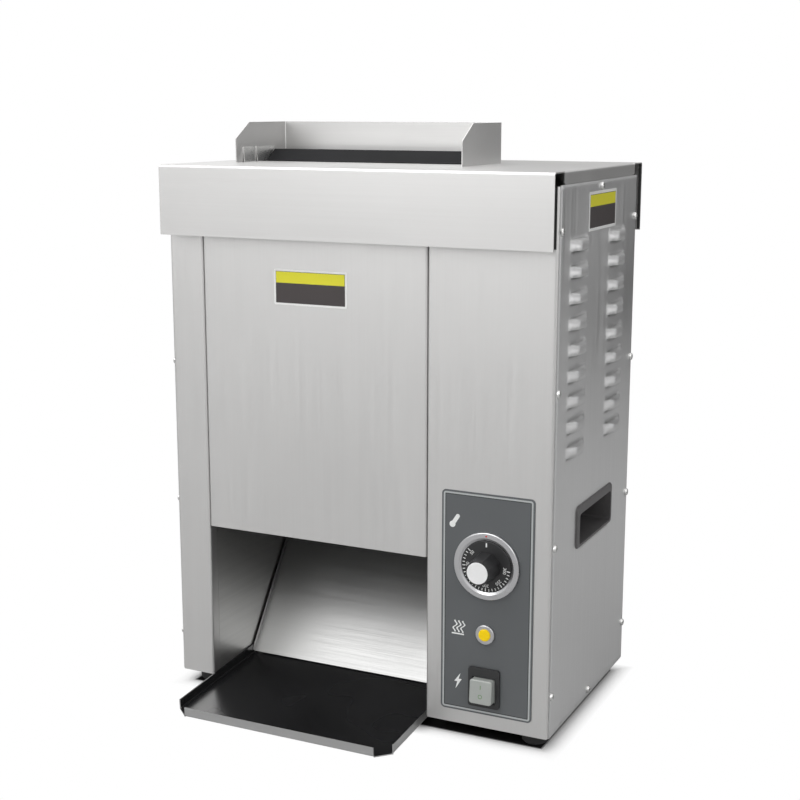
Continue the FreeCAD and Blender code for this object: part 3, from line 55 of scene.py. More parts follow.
# Camera
camera_place = (0.68229, -1.40175, 0.65559)
camera_lens = 64.366
camera_turn = math.radians(25.614)
camera_dip = math.radians(11.541)
camera_roll = math.radians(0.036)


def viewing_camera():
    """A camera that looks at the front and the right side from a little above, placed in metres"""
    data = bpy.data.cameras.new("viewing_camera")
    data.sensor_width = 36.0
    data.lens = camera_lens
    data.clip_start = 0.05
    data.clip_end = 60.0
    camera = bpy.data.objects.new("viewing_camera", data)
    bpy.context.scene.collection.objects.link(camera)
    turn = Matrix.Rotation(camera_turn, 4, "Z")
    tilt = Matrix.Rotation(math.radians(90) - camera_dip, 4, "X")
    roll = Matrix.Rotation(camera_roll, 4, "Z")
    camera.matrix_world = Matrix.Translation(camera_place) @ turn @ tilt @ roll
    bpy.context.scene.camera = camera


viewing_camera()
bpy.context.scene.view_settings.view_transform = "Standard"


# Node helpers
class Finish:
    """One node material, built up step by step"""

    def __init__(self, name):
        self.material = bpy.data.materials.new(name)
        self.material.use_nodes = True
        self.tree = self.material.node_tree
        self.shader = self.tree.nodes["Principled BSDF"]

    def add(self, kind):
        return self.tree.nodes.new(kind)

    def link(self, output, socket):
        self.tree.links.new(output, socket)

    def set(self, **values):
        for key, value in values.items():
            self.shader.inputs[key.replace("_", " ")].default_value = value

    def place(self, scale=(1, 1, 1), move=(0, 0, 0)):
        """The piece's own coordinates, moved and scaled"""
        coordinate = self.add("ShaderNodeTexCoord")
        mapping = self.add("ShaderNodeMapping")
        mapping.inputs["Location"].default_value = move
        mapping.inputs["Scale"].default_value = scale
        self.link(coordinate.outputs["Object"], mapping.inputs["Vector"])
        return mapping.outputs["Vector"]

    def noise(self, scale, stretch=(1, 1, 1), detail=3.0, harshness=0.5):
        """A soft random pattern with a given number of spots per metre"""
        texture = self.add("ShaderNodeTexNoise")
        texture.inputs["Scale"].default_value = scale
        texture.inputs["Detail"].default_value = detail
        texture.inputs["Roughness"].default_value = harshness
        self.link(self.place(stretch), texture.inputs["Vector"])
        return texture.outputs["Fac"]

    def ranged(self, value, low, high, start=0.3, end=0.7):
        """Spreads a value from start to end over low to high"""
        step = self.add("ShaderNodeMapRange")
        step.inputs["From Min"].default_value = start
        step.inputs["From Max"].default_value = end
        step.inputs["To Min"].default_value = low
        step.inputs["To Max"].default_value = high
        self.link(value, step.inputs["Value"])
        return step.outputs["Result"]

    def math(self, operation, first, second=None):
        step = self.add("ShaderNodeMath")
        step.operation = operation
        for socket, value in zip(step.inputs, (first, second)):
            if value is None:
                continue
            if isinstance(value, (int, float)):
                socket.default_value = value
            else:
                self.link(value, socket)
        return step.outputs[0]

    def mixed(self, factor, first, second):
        """A colour between two colours or sockets"""
        step = self.add("ShaderNodeMix")
        step.data_type = "RGBA"
        sockets = [s for s in step.inputs if s.type == "RGBA"]
        for socket, value in zip(sockets, (first, second)):
            if isinstance(value, (tuple, list)):
                socket.default_value = (*value, 1.0)
            else:
                self.link(value, socket)
        self.link(factor, step.inputs["Factor"])
        return [s for s in step.outputs if s.type == "RGBA"][0]

    def bump(self, height, strength, depth, softened=0.0):
        """Fine relief, on edges that look rounded by a radius where softened is given"""
        step = self.add("ShaderNodeBump")
        step.inputs["Strength"].default_value = strength
        step.inputs["Distance"].default_value = depth
        self.link(height, step.inputs["Height"])
        if softened:
            edge = self.add("ShaderNodeBevel")
            edge.samples = 8
            edge.inputs["Radius"].default_value = softened
            self.link(edge.outputs["Normal"], step.inputs["Normal"])
        self.link(step.outputs["Normal"], self.shader.inputs["Normal"])

    def facing(self, axis):
        """How squarely a face looks along an axis, from 0 to 1"""
        geometry = self.add("ShaderNodeNewGeometry")
        split = self.add("ShaderNodeSeparateXYZ")
        self.link(geometry.outputs["True Normal"], split.inputs[0])
        return self.math("ABSOLUTE", split.outputs["xyz".index(axis)])

    def colour(self, output):
        self.link(output, self.shader.inputs["Base Color"])

    def rough(self, output):
        self.link(output, self.shader.inputs["Roughness"])


def shaded(colour, share):
    """A colour at a share of its brightness"""
    return tuple(min(1.0, c * share) for c in colour)


# Finishes
def brushed_steel(name, colour, roughness, along, streak=0.014, smudge=0.02, grain=1.0,
                  softened=0.0, facing_shade=()):
    """Sheet steel with a fine grain along one axis and faint handling marks

    Facing_shade lists axes, each with the share of its tone that a face square to the axis keeps: painted
    shade, darker by the way a face points
    """
    finish = Finish(name)
    finish.set(Metallic=1.0)
    across = [900.0, 900.0, 900.0]
    across["xyz".index(along)] = 7.0
    fine = finish.noise(1.0, across, 2.0, 0.6)
    across = [210.0, 210.0, 210.0]
    across["xyz".index(along)] = 2.0
    broad = finish.noise(1.0, across, 3.0, 0.6)
    cloud = finish.noise(5.0, (1, 1, 1), 3.0, 0.55)
    base = finish.mixed(finish.ranged(broad, 0.0, 1.0), shaded(colour, 1 - streak),
                        shaded(colour, 1 + streak))
    tone = finish.mixed(finish.ranged(cloud, 0.0, 1.0), base, shaded(colour, 1 - smudge))
    # Painted shade: faces square to each listed axis are darkened towards black
    for axis, share in facing_shade:
        dark = finish.ranged(finish.facing(axis), 0.0, 1 - share, 0.8, 0.95)
        tone = finish.mixed(dark, tone, (0.0, 0.0, 0.0))
    finish.colour(tone)
    rough = finish.math("ADD", finish.ranged(fine, roughness - 0.06, roughness + 0.06),
                        finish.ranged(cloud, -0.03, 0.04))
    finish.rough(rough)
    finish.bump(fine, 0.05 * grain, 0.0001, softened)
    return finish.material


def coated(name, colour, roughness, speckle=0.15, spots=900.0, bump=0.2, depth=0.0001, **values):
    """Plastic, rubber or paint with a fine texture and slight tone changes"""
    finish = Finish(name)
    finish.set(**values)
    fine = finish.noise(spots, (1, 1, 1), 3.0, 0.6)
    cloud = finish.noise(14.0, (1, 1, 1), 3.0, 0.5)
    base = finish.mixed(finish.ranged(fine, 0.0, 1.0), shaded(colour, 1 - speckle),
                        shaded(colour, 1 + speckle))
    tone = finish.mixed(finish.ranged(cloud, 0.0, 0.6), base, shaded(colour, 1 + 2 * speckle))
    finish.colour(tone)
    finish.rough(finish.ranged(cloud, roughness - 0.05, roughness + 0.07))
    finish.bump(fine, bump, depth)
    return finish.material


def tray_finish(name, black, steel, middle):
    """Black non-stick coat on the inside of the tray and bare steel outside"""
    finish = Finish(name)
    finish.set(IOR=2.1)
    geometry = finish.add("ShaderNodeNewGeometry")
    to_middle = finish.add("ShaderNodeVectorMath")
    to_middle.operation = "SUBTRACT"
    to_middle.inputs[0].default_value = middle
    texture = finish.add("ShaderNodeTexCoord")
    finish.link(texture.outputs["Object"], to_middle.inputs[1])
    facing = finish.add("ShaderNodeVectorMath")
    facing.operation = "DOT_PRODUCT"
    finish.link(to_middle.outputs["Vector"], facing.inputs[0])
    finish.link(geometry.outputs["True Normal"], facing.inputs[1])
    inside = finish.math("GREATER_THAN", facing.outputs["Value"], 0.0)
    fine = finish.noise(700.0, (1, 1, 1), 3.0, 0.6)
    cloud = finish.noise(9.0, (1, 1, 1), 1.5, 0.5)
    coat = finish.mixed(finish.ranged(cloud, 0.0, 1.0), shaded(black, 0.85), shaded(black, 1.3))
    finish.colour(finish.mixed(inside, steel, coat))
    finish.link(finish.ranged(inside, 1.0, 0.0, 0.0, 1.0), finish.shader.inputs["Metallic"])
    coat_rough = finish.ranged(cloud, 0.24, 0.30)
    finish.rough(finish.math("ADD", coat_rough, finish.ranged(inside, 0.08, 0.0, 0.0, 1.0)))
    finish.bump(fine, 0.12, 0.0001)
    return finish.material


def studio_white(name, gain, mirrored, bounce, footprint):
    """Pale floor that fades to plain white away from the footprint of the case, in metres, with a painted
    shadow, near black, on the floor under the case as the camera sees it
    """
    shadow_tone = 0.02
    shadow_edge = (-0.0105, -0.0075)
    white_edge = (-0.0085, 0.014)
    far_edge = (2.5, 6.0)
    finish = Finish(name)
    tree = finish.tree
    tree.nodes.remove(finish.shader)
    plain = finish.add("ShaderNodeBsdfDiffuse")
    ray = finish.add("ShaderNodeLightPath")
    direct = ray.outputs["Is Camera Ray"]
    metal = finish.math("MAXIMUM", ray.outputs["Is Glossy Ray"], ray.outputs["Is Transmission Ray"])
    far = finish.add("ShaderNodeVectorMath")
    far.operation = "LENGTH"
    finish.link(finish.place(), far.inputs[0])
    low, high = footprint
    middle = (low + high) / 2
    half = (high - low) / 2
    split = finish.add("ShaderNodeSeparateXYZ")
    finish.link(finish.place(move=(-middle.x, -middle.y, 0)), split.inputs[0])
    beyond = [finish.math("SUBTRACT", finish.math("ABSOLUTE", split.outputs[i]), half[i]) for i in (0, 1)]
    outside = finish.math("MAXIMUM", beyond[0], beyond[1])
    # Painted shadow: camera rays see the floor darkened to shadow_tone just inside the case's footprint
    painted_shadow = finish.math("MULTIPLY", direct, finish.ranged(outside, shadow_tone - gain, 0.0, *shadow_edge))
    level = finish.math("ADD", finish.ranged(direct, bounce, gain, 0.0, 1.0),
                        finish.ranged(metal, 0.0, mirrored - bounce, 0.0, 1.0))
    finish.link(finish.math("ADD", level, painted_shadow), plain.inputs["Color"])
    near_fade = finish.math("MULTIPLY", finish.ranged(outside, 0.0, 1.0, *white_edge), direct)
    far_fade = finish.math("MULTIPLY", finish.ranged(far.outputs["Value"], 0.0, 1.0, *far_edge), metal)
    fade = finish.math("ADD", near_fade, far_fade)
    white = finish.add("ShaderNodeEmission")
    white.inputs["Strength"].default_value = 1.0
    mix = finish.add("ShaderNodeMixShader")
    finish.link(fade, mix.inputs[0])
    finish.link(plain.outputs[0], mix.inputs[1])
    finish.link(white.outputs[0], mix.inputs[2])
    output = [n for n in tree.nodes if n.type == "OUTPUT_MATERIAL"][0]
    finish.link(mix.outputs[0], output.inputs["Surface"])
    return finish.material


STEEL = (0.60, 0.596, 0.590)
finishes = {
    "steel_front": brushed_steel("satin_steel_front", STEEL, 0.40, "z"),
    "steel_side": brushed_steel("satin_steel_side", (0.64, 0.64, 0.64), 0.37, "z", softened=0.007),
    "steel_inner": brushed_steel("mill_steel", (0.62, 0.62, 0.61), 0.38, "y", streak=0.04, smudge=0.05),
    # Painted shade: the slide is a copy of the steel at about half the tone of the other steel
    "slide_steel": brushed_steel("shaded_copy_slide_steel", (0.33, 0.33, 0.327), 0.37, "x",
                                 streak=0.008, smudge=0.02, grain=0.2),
    "screw_steel": brushed_steel("plated_screw_steel", (0.66, 0.66, 0.65), 0.30, "x",
                                 streak=0.03, smudge=0.05, grain=0.4),
    "rubber_black": coated("foot_rubber", (0.02, 0.02, 0.02), 0.75),
    "plastic_black": coated("grained_black_plastic", (0.078, 0.075, 0.076), 0.5, 0.2, 1400.0, 0.3),
    "ramp_black": coated("ramp_coat", (0.006, 0.006, 0.007), 0.6, IOR=1.25),
    "platen_cast": coated("cast_aluminium", (0.45, 0.45, 0.45), 0.5, 0.08, 500.0, 0.3, Metallic=1.0),
    "element_sheath": coated("heat_tinted_sheath", (0.20, 0.17, 0.13), 0.45, 0.2, 300.0, Metallic=1.0),
    "release_cloth": coated("release_cloth", (0.33, 0.22, 0.12), 0.4, 0.12, 1800.0, 0.4),
    "insulation_wool": coated("mineral_wool", (0.70, 0.68, 0.62), 0.95, 0.12, 500.0, 0.8, 0.002),
    "belt_silicone": coated("belt_silicone", (0.11, 0.11, 0.11), 0.6, 0.1, 1200.0, 0.3),
    "roller_steel": brushed_steel("turned_steel", (0.55, 0.55, 0.55), 0.3, "x", streak=0.05, smudge=0.05),
    "bush_bronze": coated("sintered_bronze", (0.45, 0.30, 0.14), 0.45, 0.15, 1500.0, Metallic=1.0),
    "block_plastic": coated("moulded_cream_plastic", (0.62, 0.60, 0.54), 0.5, 0.04),
    "gearbox_cast": coated("die_cast_metal", (0.34, 0.34, 0.35), 0.5, 0.1, 600.0, 0.4, Metallic=0.9),
    "motor_paint": coated("motor_paint", (0.05, 0.05, 0.055), 0.45),
    "fan_plastic": coated("fan_plastic", (0.025, 0.025, 0.026), 0.5),
    "grille_chrome": coated("bright_wire", (0.62, 0.62, 0.62), 0.18, 0.04, 800.0, 0.05, Metallic=1.0),
    "overlay_film": coated("satin_grey_film", (0.105, 0.112, 0.117), 0.42, 0.04, 2200.0, 0.08),
    "bezel_metal": coated("satin_chrome", (0.50, 0.50, 0.51), 0.28, 0.03, 900.0, 0.05, Metallic=1.0),
    "dial_black": coated("dial_black", (0.016, 0.016, 0.017), 0.34, 0.15, 1400.0, 0.12),
    "cap_white": coated("cap_white", (0.92, 0.92, 0.92), 0.3, 0.02, 900.0, 0.05),
    "capillary_copper": coated("drawn_copper", (0.62, 0.31, 0.17), 0.35, 0.1, 900.0, Metallic=1.0),
    "lens_amber": coated("amber_lens", (0.90, 0.62, 0.002), 0.3, 0.03, 900.0, 0.05, IOR=1.3,
                         Emission_Color=(1.0, 0.70, 0.01, 1.0), Emission_Strength=0.12),
    "switch_black": coated("switch_black", (0.02, 0.02, 0.021), 0.45, 0.15, 1600.0, 0.2),
    "rocker_grey": coated("rocker_grey", (0.40, 0.42, 0.40), 0.32, 0.03, 1200.0, 0.1, Coat_Weight=0.3),
    "relay_plastic": coated("relay_blue", (0.03, 0.07, 0.16), 0.4, 0.08),
    "wire_sleeve": coated("wire_sleeve", (0.38, 0.03, 0.02), 0.45, 0.08),
}
# Faces of the tray that look towards this point, in metres, are coated
coat_height = Vector((0, 0, 0.25))
coat_middle = sum(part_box("landing_tray"), Vector()) / 2 + coat_height
finishes["tray_coat"] = tray_finish("tray_coat_and_steel", (0.011, 0.011, 0.012), (0.45, 0.45, 0.45),
                                    coat_middle)

for row in frame["record"]["subparts"]:
    item = frame["nodes"][row["node"]]
    item.data.materials.clear()
    item.data.materials.append(finishes[row["material_slot"]])


def refinished(node, material):
    """Gives one piece another finish than its slot has"""
    frame["nodes"][node].data.materials.clear()
    frame["nodes"][node].data.materials.append(material)


# Painted shade: the top cover's faces square to X keep 0.80 and those square to Y keep 0.94 of their tone
top_steel = brushed_steel("satin_steel_top", shaded(STEEL, 1.02), 0.40, "x", grain=0.35,
                          facing_shade=(("x", 0.80), ("y", 0.94)))
# Painted light and shade: the hopper guard is a lighter copy of the steel, and its faces square to Y keep
# 0.72 of their tone
guard_steel = brushed_steel("satin_steel_guard", shaded(STEEL, 1.10), 0.40, "x", grain=0.35,
                            facing_shade=(("y", 0.72),))
# Painted light: the side guides are a lighter copy of the steel, so that they read brighter than the wings
guide_steel = brushed_steel("painted_light_guide_steel", (0.80, 0.80, 0.79), 0.30, "x")
refinished("top_cover", top_steel)
refinished("hopper_guard", guard_steel)
refinished("side_guides", guide_steel)

ink_white = coated("white_print", (0.86, 0.87, 0.86), 0.5, 0.03)
ink_dark = coated("dark_print", (0.035, 0.038, 0.040), 0.45, 0.05)
ink_silver = coated("silver_print", (0.46, 0.48, 0.48), 0.4, 0.03)
ink_red = coated("red_print", (0.55, 0.02, 0.02), 0.5, 0.05)
ink_dim = coated("faint_green_print", (0.20, 0.30, 0.17), 0.5, 0.05)
plate_white = coated("plate_white", (0.88, 0.88, 0.87), 0.45, 0.03)
plate_yellow = coated("plate_yellow", (0.78, 0.74, 0.03), 0.45, 0.04)
plate_dark = coated("plate_dark", (0.042, 0.034, 0.034), 0.45, 0.1)


# Shape helpers
def box_mm(name):
    """Lowest and highest corner of a piece"""
    low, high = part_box(name)
    return low / MM, high / MM


def finished(shape, name, body, materials, angle=smooth_angle):
    """Turns a shape in millimetres into a piece that rides on a body"""
    bmesh.ops.recalc_face_normals(shape, faces=shape.faces)
    bmesh.ops.scale(shape, vec=(MM, MM, MM), verts=shape.verts)
    mesh = bpy.data.meshes.new(name)
    shape.to_mesh(mesh)
    shape.free()
    for material in materials:
        mesh.materials.append(material)
    mesh.shade_smooth()
    mesh.set_sharp_from_angle(angle=angle)
    item = bpy.data.objects.new(name, mesh)
    bpy.context.scene.collection.objects.link(item)
    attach(item, body)
    return item


def upright(shape):
    """Turns a flat shape drawn in X and Y so that it faces the front"""
    raised = Matrix.Rotation(math.radians(90), 3, "X")
    bmesh.ops.rotate(shape, cent=(0, 0, 0), matrix=raised, verts=shape.verts)


def moved(shape, place):
    """Shifts a shape by a distance along each axis"""
    bmesh.ops.translate(shape, vec=place, verts=shape.verts)


def rounded_outline(width, height, corner, steps=6):
    """A flat plate in X and Y with round corners"""
    shape = bmesh.new()
    bmesh.ops.create_grid(shape, x_segments=1, y_segments=1, size=0.5)
    bmesh.ops.scale(shape, vec=(width, height, 1), verts=shape.verts)
    bmesh.ops.bevel(shape, geom=shape.verts[:], offset=corner, segments=steps, profile=0.5,
                    affect="VERTICES", material=-1)
    return shape


def hollowed(shape, width):
    """Leaves only a rim of a flat shape"""
    rim = bmesh.ops.inset_region(shape, faces=shape.faces[:], thickness=width, use_even_offset=True,
                                 use_boundary=True)
    inner = [f for f in shape.faces if f not in rim["faces"]]
    bmesh.ops.delete(shape, geom=inner, context="FACES")


def thickened(shape, thickness):
    """Gives a flat shape a thickness towards its front"""
    made = bmesh.ops.extrude_face_region(shape, geom=shape.faces[:])
    verts = [v for v in made["geom"] if isinstance(v, bmesh.types.BMVert)]
    bmesh.ops.translate(shape, vec=(0, 0, thickness), verts=verts)


def merged(shapes):
    """Puts several shapes into the first one"""
    first = shapes[0]
    for other in shapes[1:]:
        mesh = bpy.data.meshes.new("part")
        other.to_mesh(mesh)
        other.free()
        first.from_mesh(mesh)
        bpy.data.meshes.remove(mesh)
    return first


def lettering(words, height):
    """Flat figures in X and Y, centred, of a given height"""
    figure_share = 0.72
    curve = bpy.data.curves.new("figures", "FONT")
    curve.body = words
    curve.align_x = "CENTER"
    curve.align_y = "CENTER"
    curve.size = height / figure_share
    curve.resolution_u = 3
    holder = bpy.data.objects.new("figures", curve)
    bpy.context.scene.collection.objects.link(holder)
    graph = bpy.context.evaluated_depsgraph_get()
    mesh = bpy.data.meshes.new_from_object(holder.evaluated_get(graph))
    shape = bmesh.new()
    shape.from_mesh(mesh)
    bpy.data.objects.remove(holder)
    bpy.data.curves.remove(curve)
    bpy.data.meshes.remove(mesh)
    return shape


# Control panel
overlay_low, overlay_high = box_mm("control_overlay")
panel_face = overlay_low.y
panel_middle = (overlay_low + overlay_high) / 2
panel_corner = 4.5
silver_line_inset, silver_line_width = 1.9, 1.8
dark_line_inset, dark_line_width = 3.7, 0.9
thermometer_inset, thermometer_drop = 15.5, 30.8
heat_inset, heat_rise = 20.2, 3.0
bolt_inset, bolt_rise = 19.5, 2.4


def on_panel(shape, x, z, name, material, body="case", face=None):
    """Sets a flat printed shape on the front of the panel"""
    thickened(shape, print_thickness)
    upright(shape)
    moved(shape, (x, panel_face if face is None else face, z))
    return finished(shape, name, body, [material])


def frame_ring(inset, width, name, material):
    """A line that runs round the panel at a distance from its edge"""
    size = overlay_high - overlay_low
    shape = rounded_outline(size.x - 2 * inset, size.z - 2 * inset, panel_corner - inset)
    hollowed(shape, width)
    on_panel(shape, panel_middle.x, panel_middle.z, name, material)


def thermometer_mark():
    """A leaning tube with a round bulb"""
    stem_width, stem_length, stem_corner = 4.4, 13.0, 2.1
    bulb_radius, bulb_lift = 3.4, 0.03
    lean_angle = math.radians(-33)
    stem = rounded_outline(stem_width, stem_length, stem_corner)
    bulb = bmesh.new()
    bmesh.ops.create_circle(bulb, cap_ends=True, segments=24, radius=bulb_radius)
    moved(bulb, (0, -stem_length / 2, bulb_lift))
    shape = merged([stem, bulb])
    lean = Matrix.Rotation(lean_angle, 3, "Z")
    bmesh.ops.rotate(shape, cent=(0, 0, 0), matrix=lean, verts=shape.verts)
    on_panel(shape, overlay_low.x + thermometer_inset, overlay_high.z - thermometer_drop,
             "thermometer_mark", ink_white)


def heat_mark():
    """Three wavy strokes over a bar"""
    stroke_width, stroke_length, stroke_gap, stroke_rise = 1.7, 13.0, 4.4, 1.0
    swing, swings, lean = 1.6, 0.78, 0.25
    bar_size, bar_place = (14.0, 1.5, 0.4), (-1.2, -7.2, 0)
    waves = []
    for index in range(3):
        wave = bmesh.new()
        bmesh.ops.create_grid(wave, x_segments=1, y_segments=24, size=0.5)
        bmesh.ops.scale(wave, vec=(stroke_width, stroke_length, 1), verts=wave.verts)
        for vert in wave.verts:
            vert.co.x += swing * math.sin(vert.co.y * swings) + lean * vert.co.y
        moved(wave, (stroke_gap * (index - 1), stroke_rise, 0))
        waves.append(wave)
    bar = rounded_outline(*bar_size)
    moved(bar, bar_place)
    on_panel(merged(waves + [bar]), overlay_low.x + heat_inset, lamp_middle.z + heat_rise, "heat_mark",
             ink_white)


def bolt_mark():
    """A plain lightning bolt"""
    shape = bmesh.new()
    outline = [(2.9, 8.8), (-3.9, -0.8), (-0.6, -0.8), (-2.6, -9.2), (4.4, 2.2), (1.0, 2.2)]
    shape.faces.new([shape.verts.new((x, y, 0)) for x, y in outline])
    on_panel(shape, overlay_low.x + bolt_inset, switch_middle.z + bolt_rise, "bolt_mark", ink_white)


def middle_of(name):
    """Middle of a piece's box"""
    low, high = box_mm(name)
    return (low + high) / 2


lamp_middle = middle_of("pilot_lamp_lens")
switch_middle = middle_of("switch_frame")
frame_ring(silver_line_inset, silver_line_width, "panel_silver_line", ink_silver)
frame_ring(dark_line_inset, dark_line_width, "panel_dark_line", ink_dark)
thermometer_mark()
heat_mark()
bolt_mark()


# Dial
ring_low, ring_high = box_mm("dial_bezel")
dial_low, dial_high = box_mm("thermostat_dial")
dial_middle = (dial_low + dial_high) / 2
skirt_radius = (dial_high.x - dial_low.x) / 2
skirt_thickness = 2.0
skirt_edge = 0.5
skirt_face = dial_high.y - skirt_thickness
grip_sides = 8
grip_base_radius, grip_top_radius = 16.0, 13.5
grip_edge = 0.35
grip_smooth_angle = math.radians(8)
long_tick, short_tick = (0.95, 3.6), (0.8, 2.8)
tick_corner = 0.15
tick_edge_gap = 0.7
number_height, number_inset = 3.5, 6.9
index_size, index_inset = (1.5, 4.6, 0.5), 4.2
dot_radius, dot_inset = 1.0, 3.6


def turned_grip():
    """Dial skirt and faceted grip with softened edges"""
    length = skirt_face - dial_low.y
    skirt = bmesh.new()
    bmesh.ops.create_cone(skirt, cap_ends=True, segments=96, radius1=skirt_radius, radius2=skirt_radius,
                          depth=skirt_thickness)
    rim = [e for e in skirt.edges if all(v.co.z > 0 for v in e.verts)]
    bmesh.ops.bevel(skirt, geom=rim, offset=skirt_edge, segments=3, profile=0.5, affect="EDGES", material=-1)
    moved(skirt, (0, 0, skirt_thickness / 2))
    grip = bmesh.new()
    bmesh.ops.create_cone(grip, cap_ends=True, segments=grip_sides, radius1=grip_base_radius,
                          radius2=grip_top_radius, depth=length)
    half_side = Matrix.Rotation(math.pi / grip_sides, 3, "Z")
    bmesh.ops.rotate(grip, cent=(0, 0, 0), matrix=half_side, verts=grip.verts)
    top = [f for f in grip.faces if f.normal.z > 0.9]
    bmesh.ops.inset_region(grip, faces=top, thickness=grip_edge, use_even_offset=True)
    edges = [e for e in grip.edges if e.calc_face_angle(0) > math.radians(20)]
    bmesh.ops.bevel(grip, geom=edges, offset=grip_edge, segments=2, profile=0.5, affect="EDGES", material=-1)
    moved(grip, (0, 0, skirt_thickness + length / 2))
    shape = merged([skirt, grip])
    upright(shape)
    moved(shape, (dial_middle.x, dial_high.y, dial_middle.z))
    item = finished(shape, "thermostat_knob", "dial", [finishes["dial_black"]],
                    grip_smooth_angle)
    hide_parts("thermostat_dial")


def dial_marks():
    """White ticks round the skirt, numbers inside them and a mark at the top, angles in degrees"""
    first, last = -50.0, -265.0
    numbers = (50, 100, 150, 200, 250, 300)
    between = 5
    count = between * (len(numbers) - 1)
    shapes = []
    for index in range(count + 1):
        angle = first + (last - first) * index / count
        long = index % between == 0
        width, length = long_tick if long else short_tick
        tick = rounded_outline(width, length, tick_corner, 2)
        moved(tick, (0, skirt_radius - tick_edge_gap - length / 2, 0))
        turn = Matrix.Rotation(math.radians(-angle), 3, "Z")
        bmesh.ops.rotate(tick, cent=(0, 0, 0), matrix=turn, verts=tick.verts)
        shapes.append(tick)
        if long:
            figure = lettering(str(numbers[index // between]), number_height)
            moved(figure, (0, skirt_radius - number_inset, 0))
            bmesh.ops.rotate(figure, cent=(0, 0, 0), matrix=turn, verts=figure.verts)
            shapes.append(figure)
    index_mark = rounded_outline(*index_size, 3)
    moved(index_mark, (0, skirt_radius - index_inset, 0))
    shapes.append(index_mark)
    on_panel(merged(shapes), dial_middle.x, dial_middle.z, "dial_numbers", ink_white, "dial",
             skirt_face)


def ring_dot():
    """A small red dot at the top of the ring"""
    dot = bmesh.new()
    bmesh.ops.create_circle(dot, cap_ends=True, segments=20, radius=dot_radius)
    rise = (ring_high.x - ring_low.x) / 2 - dot_inset
    on_panel(dot, dial_middle.x, dial_middle.z + rise, "ring_red_dot", ink_red, "case",
             ring_low.y)


turned_grip()
dial_marks()
ring_dot()


# Switch marks
rocker_reach = 12.5
rocker_stroke, rocker_stroke_rise = (1.0, 4.4, 0.2), 5.4
rocker_ring_radius, rocker_ring_width, rocker_ring_drop = 2.4, 0.9, 4.6


def rocker_marks():
    """Plain I and O on the face of the rocker, tipped with it"""
    for row in frame["record"]["behaviour"]["joints"]:
        if row["name"] == "power_rock":
            pivot = Vector(row["pos_m"]) / MM
            tilt = -math.radians(row["range_deg"][1]) / 2
    face = pivot.y - rocker_reach - print_thickness / 2
    stroke = rounded_outline(*rocker_stroke)
    moved(stroke, (0, rocker_stroke_rise, 0))
    ring = bmesh.new()
    bmesh.ops.create_circle(ring, cap_ends=True, segments=32, radius=rocker_ring_radius)
    hollowed(ring, rocker_ring_width)
    moved(ring, (0, -rocker_ring_drop, 0))
    marks = merged([stroke, ring])
    thickened(marks, print_thickness)
    upright(marks)
    moved(marks, (pivot.x, face, pivot.z))
    bmesh.ops.rotate(marks, cent=pivot, matrix=Matrix.Rotation(tilt, 3, "X"), verts=marks.verts)
    finished(marks, "rocker_marks", "rocker", [ink_dim])


rocker_marks()


# Painted shade: thin black strips behind the ends of the aprons, where only shade falls
shade_strip_edge = 0.15
shade_strip_thickness = 0.6
shade_strip_bottom = 522.0
front_shade_strip_top, rear_shade_strip_top = 582.0, 594.0
front_shade_strip_span = (216.0, 222.5)
rear_shade_strip_span = (221.7, 224.8)
rear_shade_strip_inset = 1.8


def seal_strip(name, low, high):
    """A thin black strip with softened edges between two corners, painted shade behind an apron end"""
    low, high = Vector(low), Vector(high)
    shape = bmesh.new()
    bmesh.ops.create_cube(shape, size=1.0)
    bmesh.ops.scale(shape, vec=high - low, verts=shape.verts)
    bmesh.ops.bevel(shape, geom=shape.edges[:], offset=shade_strip_edge, segments=2, profile=0.5,
                    affect="EDGES", material=-1)
    moved(shape, (low + high) / 2)
    finished(shape, name, "case", [finishes["rubber_black"]])


front_shade_strip_face = box_mm("control_front")[0].y
rear_shade_strip_face = box_mm("top_cover")[1].y - rear_shade_strip_inset
# Painted shade: black strips stand where the apron ends leave only shade
for side, name in ((1, "right"), (-1, "left")):
    near, far = sorted(side * reach for reach in front_shade_strip_span)
    seal_strip("front_shade_strip_" + name, (near, front_shade_strip_face - shade_strip_thickness, shade_strip_bottom),
               (far, front_shade_strip_face, front_shade_strip_top))
    near, far = sorted(side * reach for reach in rear_shade_strip_span)
    seal_strip("rear_shade_strip_" + name, (near, rear_shade_strip_face, shade_strip_bottom),
               (far, rear_shade_strip_face + shade_strip_thickness, rear_shade_strip_top))


# Bare plates
def bare_plate(name, width, height, edge, turn, place):
    """A blank plate with a white edge, a yellow upper band and a dark lower field"""
    back_corner, field_corner, band_corner = 1.4, 0.4, 0.3
    back_thickness, field_thickness, band_thickness = 0.12, 0.03, 0.02
    line = 0.5
    band_share = 0.35
    inner_width = width - 2 * edge
    inner_height = height - 2 * edge
    band = inner_height * band_share
    back = rounded_outline(width, height, back_corner, 4)
    thickened(back, back_thickness)
    field = rounded_outline(inner_width, inner_height, field_corner, 2)
    moved(field, (0, 0, back_thickness))
    thickened(field, field_thickness)
    upper = rounded_outline(inner_width - 2 * line, band, band_corner, 2)
    moved(upper, (0, inner_height / 2 - line - band / 2, back_thickness + field_thickness))
    thickened(upper, band_thickness)
    for index, shape in enumerate((back, upper, field)):
        for face in shape.faces:
            face.material_index = index
    whole = merged([back, upper, field])
    upright(whole)
    turned = Matrix.Rotation(math.radians(turn), 3, "Z")
    bmesh.ops.rotate(whole, cent=(0, 0, 0), matrix=turned, verts=whole.verts)
    moved(whole, place)
    finished(whole, name, "case", [plate_white, plate_yellow, plate_dark])


